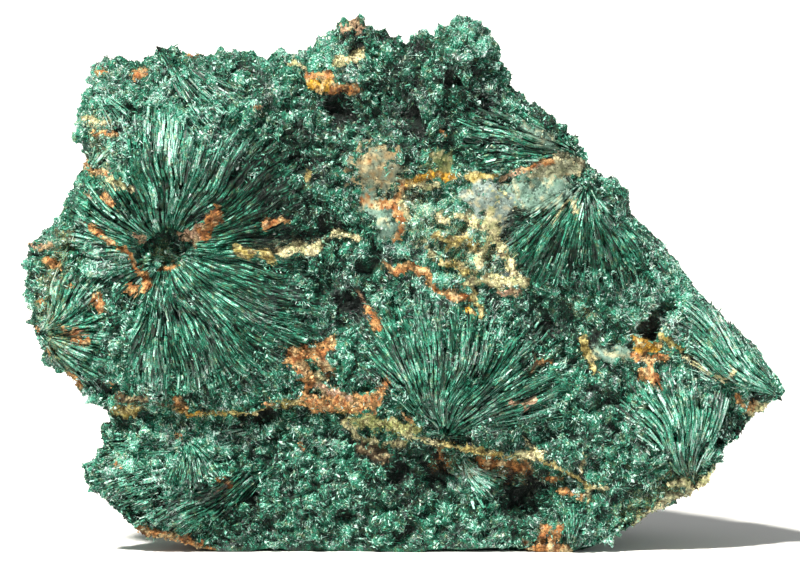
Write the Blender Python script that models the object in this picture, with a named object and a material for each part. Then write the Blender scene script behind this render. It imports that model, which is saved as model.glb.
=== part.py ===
"""Fibrous malachite hand specimen, standing on its broken lower edge.

One lump of grown-together crystal sprays. The front (facing -Y) carries fans of splintery ribs, shaggy
lumps between them, pits, and an overhanging ledge along an ochre seam. The back and the sides are the
rough break that such a specimen has. Units are metres, +Z is up, and the origin is under the middle.
"""

import math
import random

import bmesh
import bpy
from mathutils import Vector, noise
from mathutils.geometry import delaunay_2d_cdt

# Driving sizes, in metres: THICKNESS is between the even faces, before lumps and sprays stand proud of them
WIDTH = 0.110
THICKNESS = 0.044
RIM_ROUNDING = 0.0085
RIB_WIDTH = 0.0020
RIB_STEP = 0.0023
RIB_HEIGHT = 0.00095
RIB_TIER = 0.0085
FIRST_TIER_SHARE = 0.6
GRAIN_SPACING = 0.00140
GRAIN_HEIGHT = 0.00105
OUTLINE_SPACING = 0.0023
BACK_RIB_WIDTH = 0.0040
BACK_RIB_STEP = 0.0040
BACK_RIB_HEIGHT = 1.2 * RIB_HEIGHT
BACK_SPACING = 0.0030
BACK_GRAIN_HEIGHT = 1.3 * GRAIN_HEIGHT
WALL_ROWS = 10
BACK_SHRINK = 0.20
SEAM_STEP = 0.0034
SEAM_FADE = 0.0085
SEAM_LIP = 0.0005
SEAM_LIP_GAP = 0.0004
SEAM_POINT_STEP = 0.0017
SEAM_WANDER = 0.0005
SEAM_RAGGEDNESS = 0.0004
BASE_DROP = 0.0042
FRONT_RIM_DEPTH = 0.0125
BACK_RIM_DEPTH = 0.0085
BASE_RIM_EXTRA = 0.0055
TIP_THINNING = 0.004
RIM_WANDER = 0.0035
FRONT_INSET = 0.003
BACK_INSET = 0.002
LEAN = 0.0045
LEAN_START = 0.022
LEAN_RUN = 0.035
FRONT_FADE = 0.0025
BACK_FADE = 0.004
WALL_SINK = 0.0022
WALL_WANDER = 0.0013
WALL_WANDER_SIZE = 0.006
RIM_SHIFT_REACH = 0.014
PIT_RAG_SIZE = 0.0035
PIT_POINT_STEP = 0.0015
PIT_POINT_GAP = 0.0009

# Plain shares, of 1: how each form is spread, staggered or varied
RIM_WANDER_TURN = 0.55
BACK_WANDER_TURN = 0.7
BACK_WANDER_SHARE = 0.45
LUMP_SPREAD = 1.35
PIT_EDGE = 1.15
PIT_WALL = 0.6
PIT_FLOOR = 0.62
PIT_RAGGEDNESS = 0.55
SWELL_TOP = 0.55
RIDGE_HEIGHTS = (0.55, 1.35)
GROOVE_DEPTHS = (0.5, 1.1)
RIB_ANGLE_WANDER = 0.22
RIB_STAGGER = 0.2
RIB_DROOP = 0.35
RIB_GAP = 0.40
GRAIN_LEVELS = (-1.0, -0.55, 0.45, 1.0)
GRAIN_RANGE = (0.5, 1.2)
FRONT_GRAIN_TRIES = 16000
BACK_GRAIN_TRIES = 5000

# Soft noise as (height, size of its lumps, seed), heights and sizes in metres
FRONT_WAVES = ((0.0021, 0.026, 4.0), (0.0011, 0.010, 9.0))
BACK_WAVES = ((0.0038, 0.034, 21.0), (0.0020, 0.013, 27.0))
WALL_WAVES = ((0.0052, 0.017, 33.0), (0.0030, 0.0065, 39.0))

# The photograph's frame: its pixels are turned to metres by the specimen's width in it
LEFT_PX = 20.0
RIGHT_PX = 787.0
BASE_LINE_PX = 550.0
CENTRE_PX = (400.0, 300.0)
PIXEL = WIDTH / (RIGHT_PX - LEFT_PX)

# The broken edge as seen from the front, clockwise from the left shoulder, in pixels
OUTLINE_PX = (
    (75, 140), (78, 107), (88, 84), (87, 70), (102, 57), (128, 58), (143, 61), (159, 45), (186, 52),
    (213, 55), (237, 50), (255, 54), (287, 55), (306, 43), (329, 36), (335, 20), (359, 15), (368, 24),
    (385, 26), (400, 33), (405, 43), (417, 32), (431, 35), (451, 19), (460, 13), (483, 18), (494, 34),
    (501, 54), (510, 74), (522, 95), (542, 103), (562, 120), (580, 138), (583, 157), (600, 170),
    (622, 182), (632, 191), (632, 212), (650, 228), (666, 245), (683, 265), (696, 286), (715, 305),
    (738, 327), (757, 345), (771, 365), (785, 384), (787, 394), (768, 408), (753, 419), (747, 430),
    (731, 443), (720, 460), (711, 484), (694, 491), (671, 505), (651, 514), (633, 529), (612, 541),
    (591, 543), (572, 551), (535, 549), (511, 543), (476, 546), (445, 545), (419, 550), (381, 552),
    (357, 553), (322, 552), (289, 549), (275, 544), (249, 550), (220, 549), (200, 546), (171, 539),
    (144, 537), (128, 523), (111, 508), (98, 495), (82, 480), (79, 463), (102, 443), (95, 428),
    (110, 420), (105, 411), (88, 394), (64, 374), (48, 370), (36, 348), (27, 322), (21, 294),
    (25, 273), (24, 248), (45, 230), (60, 214), (68, 191), (83, 163), (83, 150),
)

# Sprays on the front: apex, then (direction in degrees, reach) pairs in pixels, and how far each swells
FRONT_FANS = {
    "rosette": ((165, 250), ((0, 135), (35, 172), (60, 160), (90, 150), (120, 135), (180, 105),
                             (240, 136), (270, 145), (315, 188), (340, 176), (360, 135)), 0.0030),
    "left_spray": ((38, 330), ((-62, 78), (-20, 92), (75, 92)), 0.0006),
    "middle_spray": ((440, 437), ((8, 120), (35, 165), (65, 150), (90, 150), (125, 150), (140, 90)), 0.0022),
    "lower_right_spray": ((695, 485), ((62, 90), (90, 122), (140, 118)), 0.0016),
    "right_tip_spray": ((784, 398), ((112, 110), (140, 150), (166, 112)), 0.0010),
    "shoulder_spray": ((585, 176), ((222, 128), (262, 112), (312, 132)), 0.0020),
    "silky_spray": ((578, 155), ((138, 100), (162, 130), (190, 112)), 0.0012),
    "small_spray": ((346, 224), ((55, 34), (125, 34)), 0.0006),
    "under_seam_spray": ((190, 421), ((238, 62), (322, 62)), 0.0008),
    "upper_spray": ((158, 47), ((300, 88), (332, 88)), 0.0006),
    "corner_spray": ((96, 76), ((282, 50), (318, 50)), 0.0004),
    "left_upper_spray": ((90, 168), ((16, 42), (78, 42)), 0.0004),
    "bottom_spray": ((572, 550), ((58, 50), (112, 50)), 0.0006),
    "slant_spray": ((456, 448), ((286, 62), (330, 66)), 0.0008),
    "lower_left_sweep": ((262, 452), ((180, 188), (205, 184), (232, 120)), 0.0010),
}

# Sprays on the back, which the photograph doesn't show: apex as if seen through from the front
BACK_FANS = {
    "back_rosette": ((470, 250), ((0, 150), (90, 150), (180, 160), (270, 150), (360, 150)), 0.0030),
    "back_left_spray": ((150, 330), ((-70, 130), (0, 140), (95, 130)), 0.0020),
    "back_right_spray": ((660, 400), ((95, 120), (150, 130), (215, 120)), 0.0016),
    "back_lower_spray": ((360, 500), ((20, 110), (160, 120)), 0.0014),
}

# Breaks across the back: direction each one faces (degrees), its slope, and its distance from the middle
BACK_BREAKS = {
    "upper_break": (78, 0.62, 0.017),
    "left_break": (158, 0.55, 0.026),
    "right_break": (12, 0.50, 0.022),
    "lower_break": (282, 0.30, 0.024),
}

# Rounded lumps on the front: place and radius in pixels, then height in metres
LUMPS = {
    "upper_left_shoulder": ((155, 120), 78, 0.0024),
    "top_knob": ((350, 40), 38, 0.0020),
    "top_right_knob": ((458, 52), 46, 0.0032),
    "grey_dome": ((372, 166), 27, 0.0026),
    "lilac_dome": ((493, 199), 27, 0.0026),
    "silky_shoulder": ((545, 185), 42, 0.0014),
    "right_shoulder": ((606, 186), 40, 0.0020),
    "green_dome": ((414, 280), 17, 0.0016),
    "right_lump": ((665, 290), 34, 0.0018),
    "lower_bulge": ((330, 500), 90, 0.0022),
    "lower_left_bulge": ((150, 480), 70, 0.0018),
    "right_bulge": ((640, 440), 60, 0.0016),
    "top_middle_hollow": ((300, 110), 56, -0.0018),
    "between_sprays": ((335, 250), 46, -0.0012),
    "middle_hollow": ((560, 330), 48, -0.0014),
}

# Pits with a sharp lip: place and radius in pixels, then depth in metres
PITS = {
    "rosette_pit": ((165, 244), 25, 0.0021),
    "knob_pit": ((353, 46), 12, 0.0018),
    "yellow_pit": ((340, 107), 17, 0.0020),
    "top_notch_pit": ((420, 48), 10, 0.0024),
    "right_knob_pit": ((479, 64), 10, 0.0022),
    "lower_knob_pit": ((451, 78), 9, 0.0020),
    "ring_pit": ((446, 117), 9, 0.0020),
    "ochre_pit": ((648, 326), 13, 0.0018),
    "small_ochre_pit": ((592, 336), 8, 0.0020),
    "fuzzy_pit": ((352, 302), 15, 0.0014),
    "bottom_pit": ((277, 527), 9, 0.0024),
    "dark_hollow": ((437, 474), 20, 0.0015),
    "ragged_hollow": ((525, 492), 30, 0.0017),
}

# The ochre seam, whose upper side overhangs the darker mass beneath it, in pixels from left to right
SEAM_PX = (
    (101, 402), (116, 404), (150, 396), (189, 413), (225, 410), (251, 412), (283, 402), (302, 399),
    (340, 410), (372, 424), (400, 434), (438, 443), (483, 453), (540, 460), (566, 470), (600, 486),
)

MALACHITE_GREEN = (0.060, 0.190, 0.120, 1.0)
MALACHITE_ROUGHNESS = 0.5


def at(pixel):
    """A place in the photograph as (x, z) in metres."""
    return Vector(((pixel[0] - CENTRE_PX[0]) * PIXEL, (BASE_LINE_PX - pixel[1]) * PIXEL))


CENTRE = at(CENTRE_PX)


def smooth(value):
    """0 to 1 with flat ends."""
    value = min(max(value, 0.0), 1.0)
    return value * value * (3.0 - 2.0 * value)


def rough(x, y, z, scale, seed):
    """Soft noise of -1 to 1 whose lumps are about scale metres across."""
    return noise.noise(Vector((x / scale + seed, y / scale - 2.0 * seed, z / scale + 3.1 * seed)))


def waved(x, y, z, waves):
    """The sum of several sizes of soft noise, in metres."""
    return sum(height * rough(x, y, z, size, seed) for height, size, seed in waves)


def on_path(points, spacing, closed):
    """The points of a polyline about spacing apart, with its own corners kept as near as that allows."""
    corners = list(points) + ([points[0]] if closed else [])
    placed = []
    for start, end in zip(corners, corners[1:]):
        count = max(1, round((end - start).length / spacing))
        placed += [start.lerp(end, step / count) for step in range(count)]
    return placed if closed else placed + [corners[-1]]


OUTLINE = on_path([at(pixel) for pixel in OUTLINE_PX], OUTLINE_SPACING, True)
SEAM = [at(pixel) for pixel in SEAM_PX]


def to_outline(place):
    """How far inside the broken edge a place is."""
    best = WIDTH
    for start, end in zip(OUTLINE, OUTLINE[1:] + OUTLINE[:1]):
        along = end - start
        share = min(max((place - start).dot(along) / along.length_squared, 0.0), 1.0)
        best = min(best, (place - start - along * share).length)
    return best


def inside(place):
    """Whether a place is within the broken edge."""
    within = False
    for start, end in zip(OUTLINE, OUTLINE[1:] + OUTLINE[:1]):
        if (start.y > place.y) != (end.y > place.y):
            crossing = start.x + (place.y - start.y) / (end.y - start.y) * (end.x - start.x)
            within ^= place.x < crossing
    return within


def rim_depth(place, base_depth, seed):
    """How deep the broken edge lies, seen along the direction of a place from the middle."""
    arm = place - CENTRE
    arm.normalize()
    low = smooth(-arm.y * 1.6)
    thin_tip = smooth((arm.x - 0.75) * 3.0)
    waver = RIM_WANDER * rough(arm.x, arm.y, 0.0, RIM_WANDER_TURN, seed)
    return base_depth + BASE_RIM_EXTRA * low - TIP_THINNING * thin_tip + waver


def below_seam(place):
    """How far beneath the seam a place is, or None past its ends."""
    for start, end in zip(SEAM, SEAM[1:]):
        if start.x <= place.x <= end.x:
            return start.y + (place.x - start.x) / (end.x - start.x) * (end.y - start.y) - place.y
    return None


def ledge(place):
    """How far the mass under the seam is set back."""
    drop = below_seam(place)
    if drop is None or drop < 0.4 * SEAM_LIP:
        return 0.0
    fade_out = 1.0 - smooth((place.x - SEAM[-3].x) / (SEAM[-1].x - SEAM[-3].x))
    return SEAM_STEP * (0.35 + 0.65 * math.exp(-drop / SEAM_FADE)) * fade_out


def fan_share(fan, place):
    """How far along its spray a place is, from 0 at the apex to 1 at the tips, or None outside it."""
    apex, reaches, _ = fan
    arm = place - at(apex)
    angle = math.degrees(math.atan2(arm.y, arm.x))
    for turn in (angle, angle + 360.0):
        for (first, near), (last, far) in zip(reaches, reaches[1:]):
            if first <= turn <= last:
                reach = near + (far - near) * (turn - first) / (last - first)
                share = arm.length / (reach * PIXEL)
                return share if share < 1.0 else None
    return None


def owner(fans, place):
    """The name of the spray that a place belongs to, and how far along it the place is."""
    shares = [(fan_share(fan, place), name) for name, fan in fans.items()]
    known = [(share, name) for share, name in shares if share is not None]
    return min(known) if known else (None, None)


def spray_swell(fans, place):
    """Each spray stands proud in a low dome that is highest part of the way to its tips."""
    share, name = owner(fans, place)
    if share is None:
        return 0.0
    return fans[name][2] * smooth(share * 2.6) * (1.0 - smooth((share - SWELL_TOP) / (1.0 - SWELL_TOP)))


def front_relief(place):
    """Height of the front over its even face, towards the viewer, without ribs and grains."""
    height = waved(place.x, 0.0, place.y, FRONT_WAVES)
    for lump, radius, rise in LUMPS.values():
        height += rise * smooth(1.0 - (place - at(lump)).length / (LUMP_SPREAD * radius * PIXEL))
    ragged = 1.0 + PIT_RAGGEDNESS * rough(place.x, 0.0, place.y, PIT_RAG_SIZE, 15.0)
    for pit, radius, depth in PITS.values():
        share = (place - at(pit)).length / (radius * ragged * PIXEL)
        height -= depth * smooth((PIT_EDGE - share) / PIT_WALL)
    return height + spray_swell(FRONT_FANS, place) - ledge(place)


def back_relief(place):
    """Height of the back over its even face, away from the viewer."""
    height = waved(place.x, 0.0, place.y, BACK_WAVES)
    for facing, slope, start in BACK_BREAKS.values():
        way = Vector((math.cos(math.radians(facing)), math.sin(math.radians(facing))))
        height -= slope * max(0.0, (place - CENTRE).dot(way) - start)
    return height + spray_swell(BACK_FANS, place)


def rounded(place, plateau, rim):
    """Depth of a face that rounds over from its plateau to the depth of its rim."""
    inward = min(to_outline(place) / RIM_ROUNDING, 1.0)
    return rim + (plateau - rim) * math.sqrt(1.0 - (1.0 - inward) ** 2)


def front_y(place, detail):
    """Depth of a point of the front: its detail fades at the rim, so the broken edge stays as drawn."""
    plateau = 0.5 * THICKNESS - FRONT_INSET + front_relief(place)
    lean = LEAN * smooth((place.x - LEAN_START) / LEAN_RUN)
    fade = smooth(to_outline(place) / FRONT_FADE)
    return -(rounded(place, plateau - lean, rim_depth(place, FRONT_RIM_DEPTH, 1.0)) + detail * fade)


class Scatter:
    """Points of a face, each with the height of its own rib or grain, and the edges that ribs keep."""

    def __init__(self, boundary, gap):
        self.places = list(boundary)
        self.details = [0.0] * len(boundary)
        self.edges = []
        self.gap = gap
        self.cells = {}
        for index in range(len(boundary)):
            self.remember(index)

    def cell(self, place):
        return int(place.x // self.gap), int(place.y // self.gap)

    def remember(self, index):
        self.cells.setdefault(self.cell(self.places[index]), []).append(index)

    def crowded(self, place, gap):
        column, row = self.cell(place)
        nearby = [index for i in (-1, 0, 1) for j in (-1, 0, 1)
                  for index in self.cells.get((column + i, row + j), ())]
        return any((self.places[index] - place).length < gap for index in nearby)

    def add(self, place, detail, gap):
        """Keeps a point that is inside the edge and clear of the others, and gives its index."""
        if not inside(place) or to_outline(place) < 0.45 * gap or self.crowded(place, gap):
            return None
        self.places.append(place)
        self.details.append(detail)
        self.remember(len(self.places) - 1)
        return len(self.places) - 1


def add_line(scatter, places, details, gap):
    """A ridge or a groove: its points, joined by edges where none was left out."""
    last = None
    for place, detail in zip(places, details):
        index = scatter.add(place, detail, gap)
        if index is not None and last is not None:
            scatter.edges.append((last, index))
        last = index


def add_ribs(scatter, fans, width, step, height, picked):
    """Ribs that radiate from each apex, in tiers, so that they keep their width as the spray opens."""
    for name, fan in fans.items():
        apex, reaches, _ = fan
        first, last = math.radians(reaches[0][0]), math.radians(reaches[-1][0])
        furthest = max(reach for _, reach in reaches) * PIXEL
        inner = 0.35 * width
        while inner < furthest:
            outer = inner + RIB_TIER * (FIRST_TIER_SHARE if inner < RIB_TIER else 1.0)
            middle = 0.5 * (inner + outer)
            count = max(3, round((last - first) * middle / (0.5 * width)))
            for line in range(count + 1):
                drift = picked.uniform(-RIB_ANGLE_WANDER, RIB_ANGLE_WANDER)
                angle = first + (last - first) * (line + drift) / count
                ridge = line % 2 == 0
                tall = height * (picked.uniform(*RIDGE_HEIGHTS) if ridge else -picked.uniform(*GROOVE_DEPTHS))
                start = inner + step * picked.uniform(-RIB_STAGGER, RIB_STAGGER)
                radii = [start + step * hop for hop in range(int((outer - start) / step) + 1)]
                ray = Vector((math.cos(angle), math.sin(angle)))
                places = [at(apex) + ray * radius for radius in radii]
                places = [place for place in places if owner(fans, place)[1] == name]
                droop = [tall * (1.0 - RIB_DROOP * hop / len(radii)) for hop in range(len(places))]
                add_line(scatter, places, droop, RIB_GAP * width)
            inner = outer


def add_pit_lips(scatter, picked):
    """Rings of points at the lip and the floor of each pit."""
    for pit, radius, _ in PITS.values():
        for share in (PIT_EDGE, PIT_FLOOR):
            around = radius * PIXEL * share
            count = max(6, round(2.0 * math.pi * around / PIT_POINT_STEP))
            for step in range(count):
                angle = 2.0 * math.pi * step / count + picked.uniform(-0.1, 0.1)
                ray = Vector((math.cos(angle), math.sin(angle)))
                place = at(pit) + around * picked.uniform(0.8, 1.15) * ray
                scatter.add(place, picked.uniform(-0.3, 0.5) * GRAIN_HEIGHT, PIT_POINT_GAP)


def add_seam_lip(scatter, picked):
    """Two lines of points that make the overhanging step along the seam."""
    along = on_path(SEAM, SEAM_POINT_STEP, False)
    wander = [Vector((0.0, picked.uniform(-SEAM_WANDER, SEAM_WANDER))) for _ in along]
    upper = [place + shift for place, shift in zip(along, wander)]
    lower = [place - Vector((0.0, SEAM_LIP + SEAM_LIP_GAP)) for place in upper]
    add_line(scatter, upper, [SEAM_RAGGEDNESS * picked.uniform(-0.5, 1.2) for _ in upper], 0.9 * SEAM_LIP)
    add_line(scatter, lower, [0.0] * len(lower), 0.9 * SEAM_LIP)


def add_grains(scatter, spacing, height, tries, picked):
    """Random lumps and dents wherever there is still room."""
    lows = [min(place[axis] for place in OUTLINE) for axis in (0, 1)]
    highs = [max(place[axis] for place in OUTLINE) for axis in (0, 1)]
    for _ in range(tries):
        place = Vector((picked.uniform(lows[0], highs[0]), picked.uniform(lows[1], highs[1])))
        detail = height * picked.choice(GRAIN_LEVELS) * picked.uniform(*GRAIN_RANGE)
        scatter.add(place, detail, spacing)


def triangulated(scatter, boundary_count):
    """The scatter's places, details and triangles inside the edge, and the indices of the edge's points."""
    loop = [(step, (step + 1) % boundary_count) for step in range(boundary_count)]
    places, _, faces, origins, _, _ = delaunay_2d_cdt(scatter.places, loop + scatter.edges, [], 0, 1e-7, True)
    details = [scatter.details[origin[0]] if origin else 0.0 for origin in origins]
    found_at = {origin: index for index, found in enumerate(origins) for origin in found}
    middles = [sum((places[index] for index in face), Vector((0.0, 0.0))) / 3.0 for face in faces]
    kept = [face for face, middle in zip(faces, middles) if inside(middle)]
    return places, details, kept, [found_at[step] for step in range(boundary_count)]


def front_points():
    """The front face as (3-D points, triangles, indices of its rim)."""
    picked = random.Random(11)
    scatter = Scatter(OUTLINE, GRAIN_SPACING)
    add_seam_lip(scatter, picked)
    add_pit_lips(scatter, picked)
    add_ribs(scatter, FRONT_FANS, RIB_WIDTH, RIB_STEP, RIB_HEIGHT, picked)
    add_grains(scatter, GRAIN_SPACING, GRAIN_HEIGHT, FRONT_GRAIN_TRIES, picked)
    places, details, faces, rim = triangulated(scatter, len(OUTLINE))
    points = [Vector((place.x, front_y(place, detail), place.y)) for place, detail in zip(places, details)]
    return points, faces, rim


def back_scale(place, share):
    """The edge drawn in towards the middle as it runs back, except along the base."""
    arm = (place - CENTRE).normalized()
    kept = smooth((-arm.y - 0.55) * 4.0)
    drawn_in = BACK_SHRINK * (1.0 + BACK_WANDER_SHARE * rough(arm.x, arm.y, 0.0, BACK_WANDER_TURN, 51.0))
    return 1.0 - drawn_in * share ** 1.25 * (1.0 - 0.9 * kept)


def back_place(place, share):
    """Where a point of the outline lies on a row of the wall, seen from the front."""
    arm = place - CENTRE
    drawn = CENTRE + arm * back_scale(place, share)
    bump = math.sin(math.pi * min(share * 1.15, 1.0))
    lump = waved(place.x, share * THICKNESS, place.y, WALL_WAVES)
    drawn += arm.normalized() * bump * (lump - WALL_SINK)
    drawn.y -= BASE_DROP * smooth(share * 6.0) * smooth((-arm.y / arm.length - 0.69) * 9.0)
    return drawn


def softened(row, share):
    """A row of the wall with its notches smoothed out, the more so the further back it is."""
    count = len(row)
    reach = round(4 * share)
    return [sum((row[(index + hop) % count] for hop in range(-reach, reach + 1)), Vector((0.0, 0.0)))
            / (2 * reach + 1) for index in range(count)]


def wall_rows():
    """Rows of points from just behind the front's rim to the back's rim."""
    rows = []
    for step in range(1, WALL_ROWS + 1):
        share = step / WALL_ROWS
        seen = softened([back_place(place, share) for place in OUTLINE], share)
        row = []
        for start, drawn in zip(OUTLINE, seen):
            near = -rim_depth(start, FRONT_RIM_DEPTH, 1.0)
            far = rim_depth(start, BACK_RIM_DEPTH, 5.0)
            waver = WALL_WANDER * rough(drawn.x, step * 0.01, drawn.y, WALL_WANDER_SIZE, 45.0)
            row.append(Vector((drawn.x, near + (far - near) * share + waver, drawn.y)))
        rows.append(row)
    return rows


def rim_shift(place, rim_row):
    """How far the back near its edge follows the lumps of the last row of the wall."""
    total, weights = Vector((0.0, 0.0)), 0.0
    for start, end in zip(OUTLINE, rim_row):
        plain = CENTRE + (start - CENTRE) * back_scale(start, 1.0)
        weight = 1.0 / ((place - start).length_squared + 1e-7) ** 2
        total += (Vector((end.x, end.z)) - plain) * weight
        weights += weight
    return total / weights * (1.0 - smooth(to_outline(place) / RIM_SHIFT_REACH))


def back_points(rim_row):
    """The back face inside the last row of the wall, as (3-D points, triangles, indices of its rim)."""
    picked = random.Random(29)
    scatter = Scatter(OUTLINE, BACK_SPACING)
    add_ribs(scatter, BACK_FANS, BACK_RIB_WIDTH, BACK_RIB_STEP, BACK_RIB_HEIGHT, picked)
    add_grains(scatter, BACK_SPACING, BACK_GRAIN_HEIGHT, BACK_GRAIN_TRIES, picked)
    places, details, faces, rim = triangulated(scatter, len(OUTLINE))
    points = []
    for place, detail in zip(places, details):
        rim_y = rim_depth(place, BACK_RIM_DEPTH, 5.0)
        plateau = max(0.5 * THICKNESS - BACK_INSET + back_relief(place), rim_y - BACK_INSET)
        depth = rounded(place, plateau, rim_y)
        drawn = CENTRE + (place - CENTRE) * back_scale(place, 1.0) + rim_shift(place, rim_row)
        points.append(Vector((drawn.x, depth + detail * smooth(to_outline(place) / BACK_FADE), drawn.y)))
    for index, place in zip(rim, rim_row):
        points[index] = place
    return points, faces, rim


def lump_mesh():
    """The closed lump: front, wall rows and back, with its foot pressed flat on Z = 0."""
    shape = bmesh.new()
    front, front_faces, front_rim = front_points()
    rows = wall_rows()
    back, back_faces, back_rim = back_points(rows[-1])

    front_verts = [shape.verts.new(point) for point in front]
    for face in front_faces:
        shape.faces.new([front_verts[index] for index in face])
    back_verts = [shape.verts.new(point) for point in back]
    for face in back_faces:
        shape.faces.new([back_verts[index] for index in reversed(face)])

    loops = [[front_verts[index] for index in front_rim]]
    loops += [[shape.verts.new(point) for point in row] for row in rows[:-1]]
    loops.append([back_verts[index] for index in back_rim])
    for near, far in zip(loops, loops[1:]):
        for index in range(len(near)):
            after = (index + 1) % len(near)
            shape.faces.new((near[index], near[after], far[after]))
            shape.faces.new((near[index], far[after], far[index]))

    for vert in shape.verts:
        vert.co.z = max(vert.co.z, 0.0)
    bmesh.ops.recalc_face_normals(shape, faces=shape.faces[:])
    return shape


def centred(shape):
    """Moves the lump so that its box is centred over the origin and stands on Z = 0."""
    lows = [min(vert.co[axis] for vert in shape.verts) for axis in range(3)]
    highs = [max(vert.co[axis] for vert in shape.verts) for axis in range(3)]
    shift = Vector((-0.5 * (lows[0] + highs[0]), -0.5 * (lows[1] + highs[1]), -lows[2]))
    bmesh.ops.translate(shape, verts=shape.verts[:], vec=shift)


def malachite_material():
    """Green fibrous malachite, dull to silky."""
    material = bpy.data.materials.new("malachite")
    material.use_nodes = True
    shader = material.node_tree.nodes["Principled BSDF"]
    shader.inputs["Base Color"].default_value = MALACHITE_GREEN
    shader.inputs["Roughness"].default_value = MALACHITE_ROUGHNESS
    shader.inputs["Metallic"].default_value = 0.0
    return material


def malachite():
    """The specimen: one object, because the sprays and crusts grew together into one lump."""
    shape = lump_mesh()
    centred(shape)
    mesh = bpy.data.meshes.new("malachite")
    shape.to_mesh(mesh)
    shape.free()
    mesh.materials.append(malachite_material())
    specimen = bpy.data.objects.new("malachite", mesh)
    bpy.context.scene.collection.objects.link(specimen)
    print(f"malachite: {len(mesh.vertices)} points, {len(mesh.polygons)} faces")


for old in list(bpy.data.objects):
    bpy.data.objects.remove(old)
malachite()
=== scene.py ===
# %% [markdown]
# # A hand specimen of fibrous malachite
#
# Malachite is a copper carbonate that grows as needles, thousands of them side by side, all spreading from
# one point. Broken open, such a spray shows as a fan of green fibres, and where sprays meet, as a felt like
# coral. This lesson dresses one lump of it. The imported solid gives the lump, its ledges and its coarse ribs,
# and the cells below add the ground mass, a sheet of fibres for each spray, loose fibres and splinters, the
# felt, and the ochre crust in the seams.

# %% The frame
import itertools
import math

import bmesh
import bpy
import numpy as np
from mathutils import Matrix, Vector
from mathutils.bvhtree import BVHTree


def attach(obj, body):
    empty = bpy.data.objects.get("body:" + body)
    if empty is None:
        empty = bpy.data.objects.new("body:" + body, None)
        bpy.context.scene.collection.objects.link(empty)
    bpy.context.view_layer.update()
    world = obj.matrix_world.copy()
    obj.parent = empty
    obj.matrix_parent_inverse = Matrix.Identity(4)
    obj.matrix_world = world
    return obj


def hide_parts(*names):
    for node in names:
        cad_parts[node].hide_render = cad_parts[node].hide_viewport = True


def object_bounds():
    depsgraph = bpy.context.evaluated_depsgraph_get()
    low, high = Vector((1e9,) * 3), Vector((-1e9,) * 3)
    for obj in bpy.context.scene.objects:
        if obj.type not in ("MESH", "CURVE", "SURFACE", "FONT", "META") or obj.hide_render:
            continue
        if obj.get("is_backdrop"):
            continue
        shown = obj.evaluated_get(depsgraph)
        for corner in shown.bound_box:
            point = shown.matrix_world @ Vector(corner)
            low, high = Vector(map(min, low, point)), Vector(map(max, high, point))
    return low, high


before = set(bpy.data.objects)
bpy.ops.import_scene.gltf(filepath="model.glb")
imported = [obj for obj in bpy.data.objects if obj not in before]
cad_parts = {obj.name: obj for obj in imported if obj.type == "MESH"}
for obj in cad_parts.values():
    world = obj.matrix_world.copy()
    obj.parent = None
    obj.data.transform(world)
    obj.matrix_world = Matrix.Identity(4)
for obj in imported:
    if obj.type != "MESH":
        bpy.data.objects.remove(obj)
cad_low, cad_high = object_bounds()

MM = 0.001
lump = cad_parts["malachite"]


def in_mm(metres):
    """Millimetres, for the prints."""
    return round(float(metres) / MM, 2)


print("the lump is", [in_mm(b - a) for a, b in zip(cad_low, cad_high)], "mm")

# %% [markdown]
# ## One map for the front
#
# Every mark on the front was read off the photograph, so its place is kept as a pixel of the 800 by
# 572 picture. One scale turns those pixels into metres: the lump's broken edge runs from pixel 21 to pixel
# 787, and its foot stands at pixel 550. Marks stay in the picture's own numbers, which are easy to check.

# %% The map
PICTURE = (800, 572)
EDGE_PX = (21.0, 787.0)
FOOT_PX = 550.0
PIXEL = (cad_high.x - cad_low.x) / (EDGE_PX[1] - EDGE_PX[0])
MIDDLE_PX = 0.5 * (EDGE_PX[0] + EDGE_PX[1])


def from_px(px, py):
    """Metres across and up for a pixel of the picture."""
    return (np.asarray(px, float) - MIDDLE_PX) * PIXEL, (FOOT_PX - np.asarray(py, float)) * PIXEL


def to_px(x, z):
    """The pixel of the picture for metres across and up."""
    return np.asarray(x) / PIXEL + MIDDLE_PX, FOOT_PX - np.asarray(z) / PIXEL


print("one pixel is", round(PIXEL / MM, 4), "mm")

# %% [markdown]
# ## Camera, floor and light
#
# The picture looks almost straight at the front of the stone through a long lens, which keeps its outline
# flat and true. The floor is a wide pale disc, so that its far edge stays out of sight from every side.
# Fibres need a raking key light from above to show their relief, and an even sky that is dim enough to leave
# the gaps dark.

# %% Camera
CAMERA_RISE = math.radians(4.0)
CAMERA_DISTANCE = 0.95
EDGE_DEPTH = -0.0135
SENSOR = 36.0
NEAREST, FURTHEST = 0.05, 30.0

camera_data = bpy.data.cameras.new("camera")
camera = bpy.data.objects.new("camera", camera_data)
bpy.context.scene.collection.objects.link(camera)
aim_x, aim_z = from_px(0.5 * PICTURE[0], 0.5 * PICTURE[1])
aim = Vector((float(aim_x), EDGE_DEPTH, float(aim_z)))
camera.location = aim + Vector((0.0, -math.cos(CAMERA_RISE), math.sin(CAMERA_RISE))) * CAMERA_DISTANCE
camera.rotation_euler = (0.5 * math.pi - CAMERA_RISE, 0.0, 0.0)
camera_data.sensor_width = SENSOR
camera_data.lens = SENSOR * CAMERA_DISTANCE / (PICTURE[0] * PIXEL)
camera_data.clip_start = NEAREST
camera_data.clip_end = FURTHEST
bpy.context.scene.camera = camera
print("lens", round(camera_data.lens, 1), "mm at", CAMERA_DISTANCE, "m")

# %% Colours and nodes


def linear(hex_colour):
    """The linear colour of an sRGB hex value."""
    parts = [int(hex_colour[place:place + 2], 16) / 255.0 for place in (1, 3, 5)]
    return tuple(p / 12.92 if p <= 0.04045 else ((p + 0.055) / 1.055) ** 2.4 for p in parts)


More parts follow.
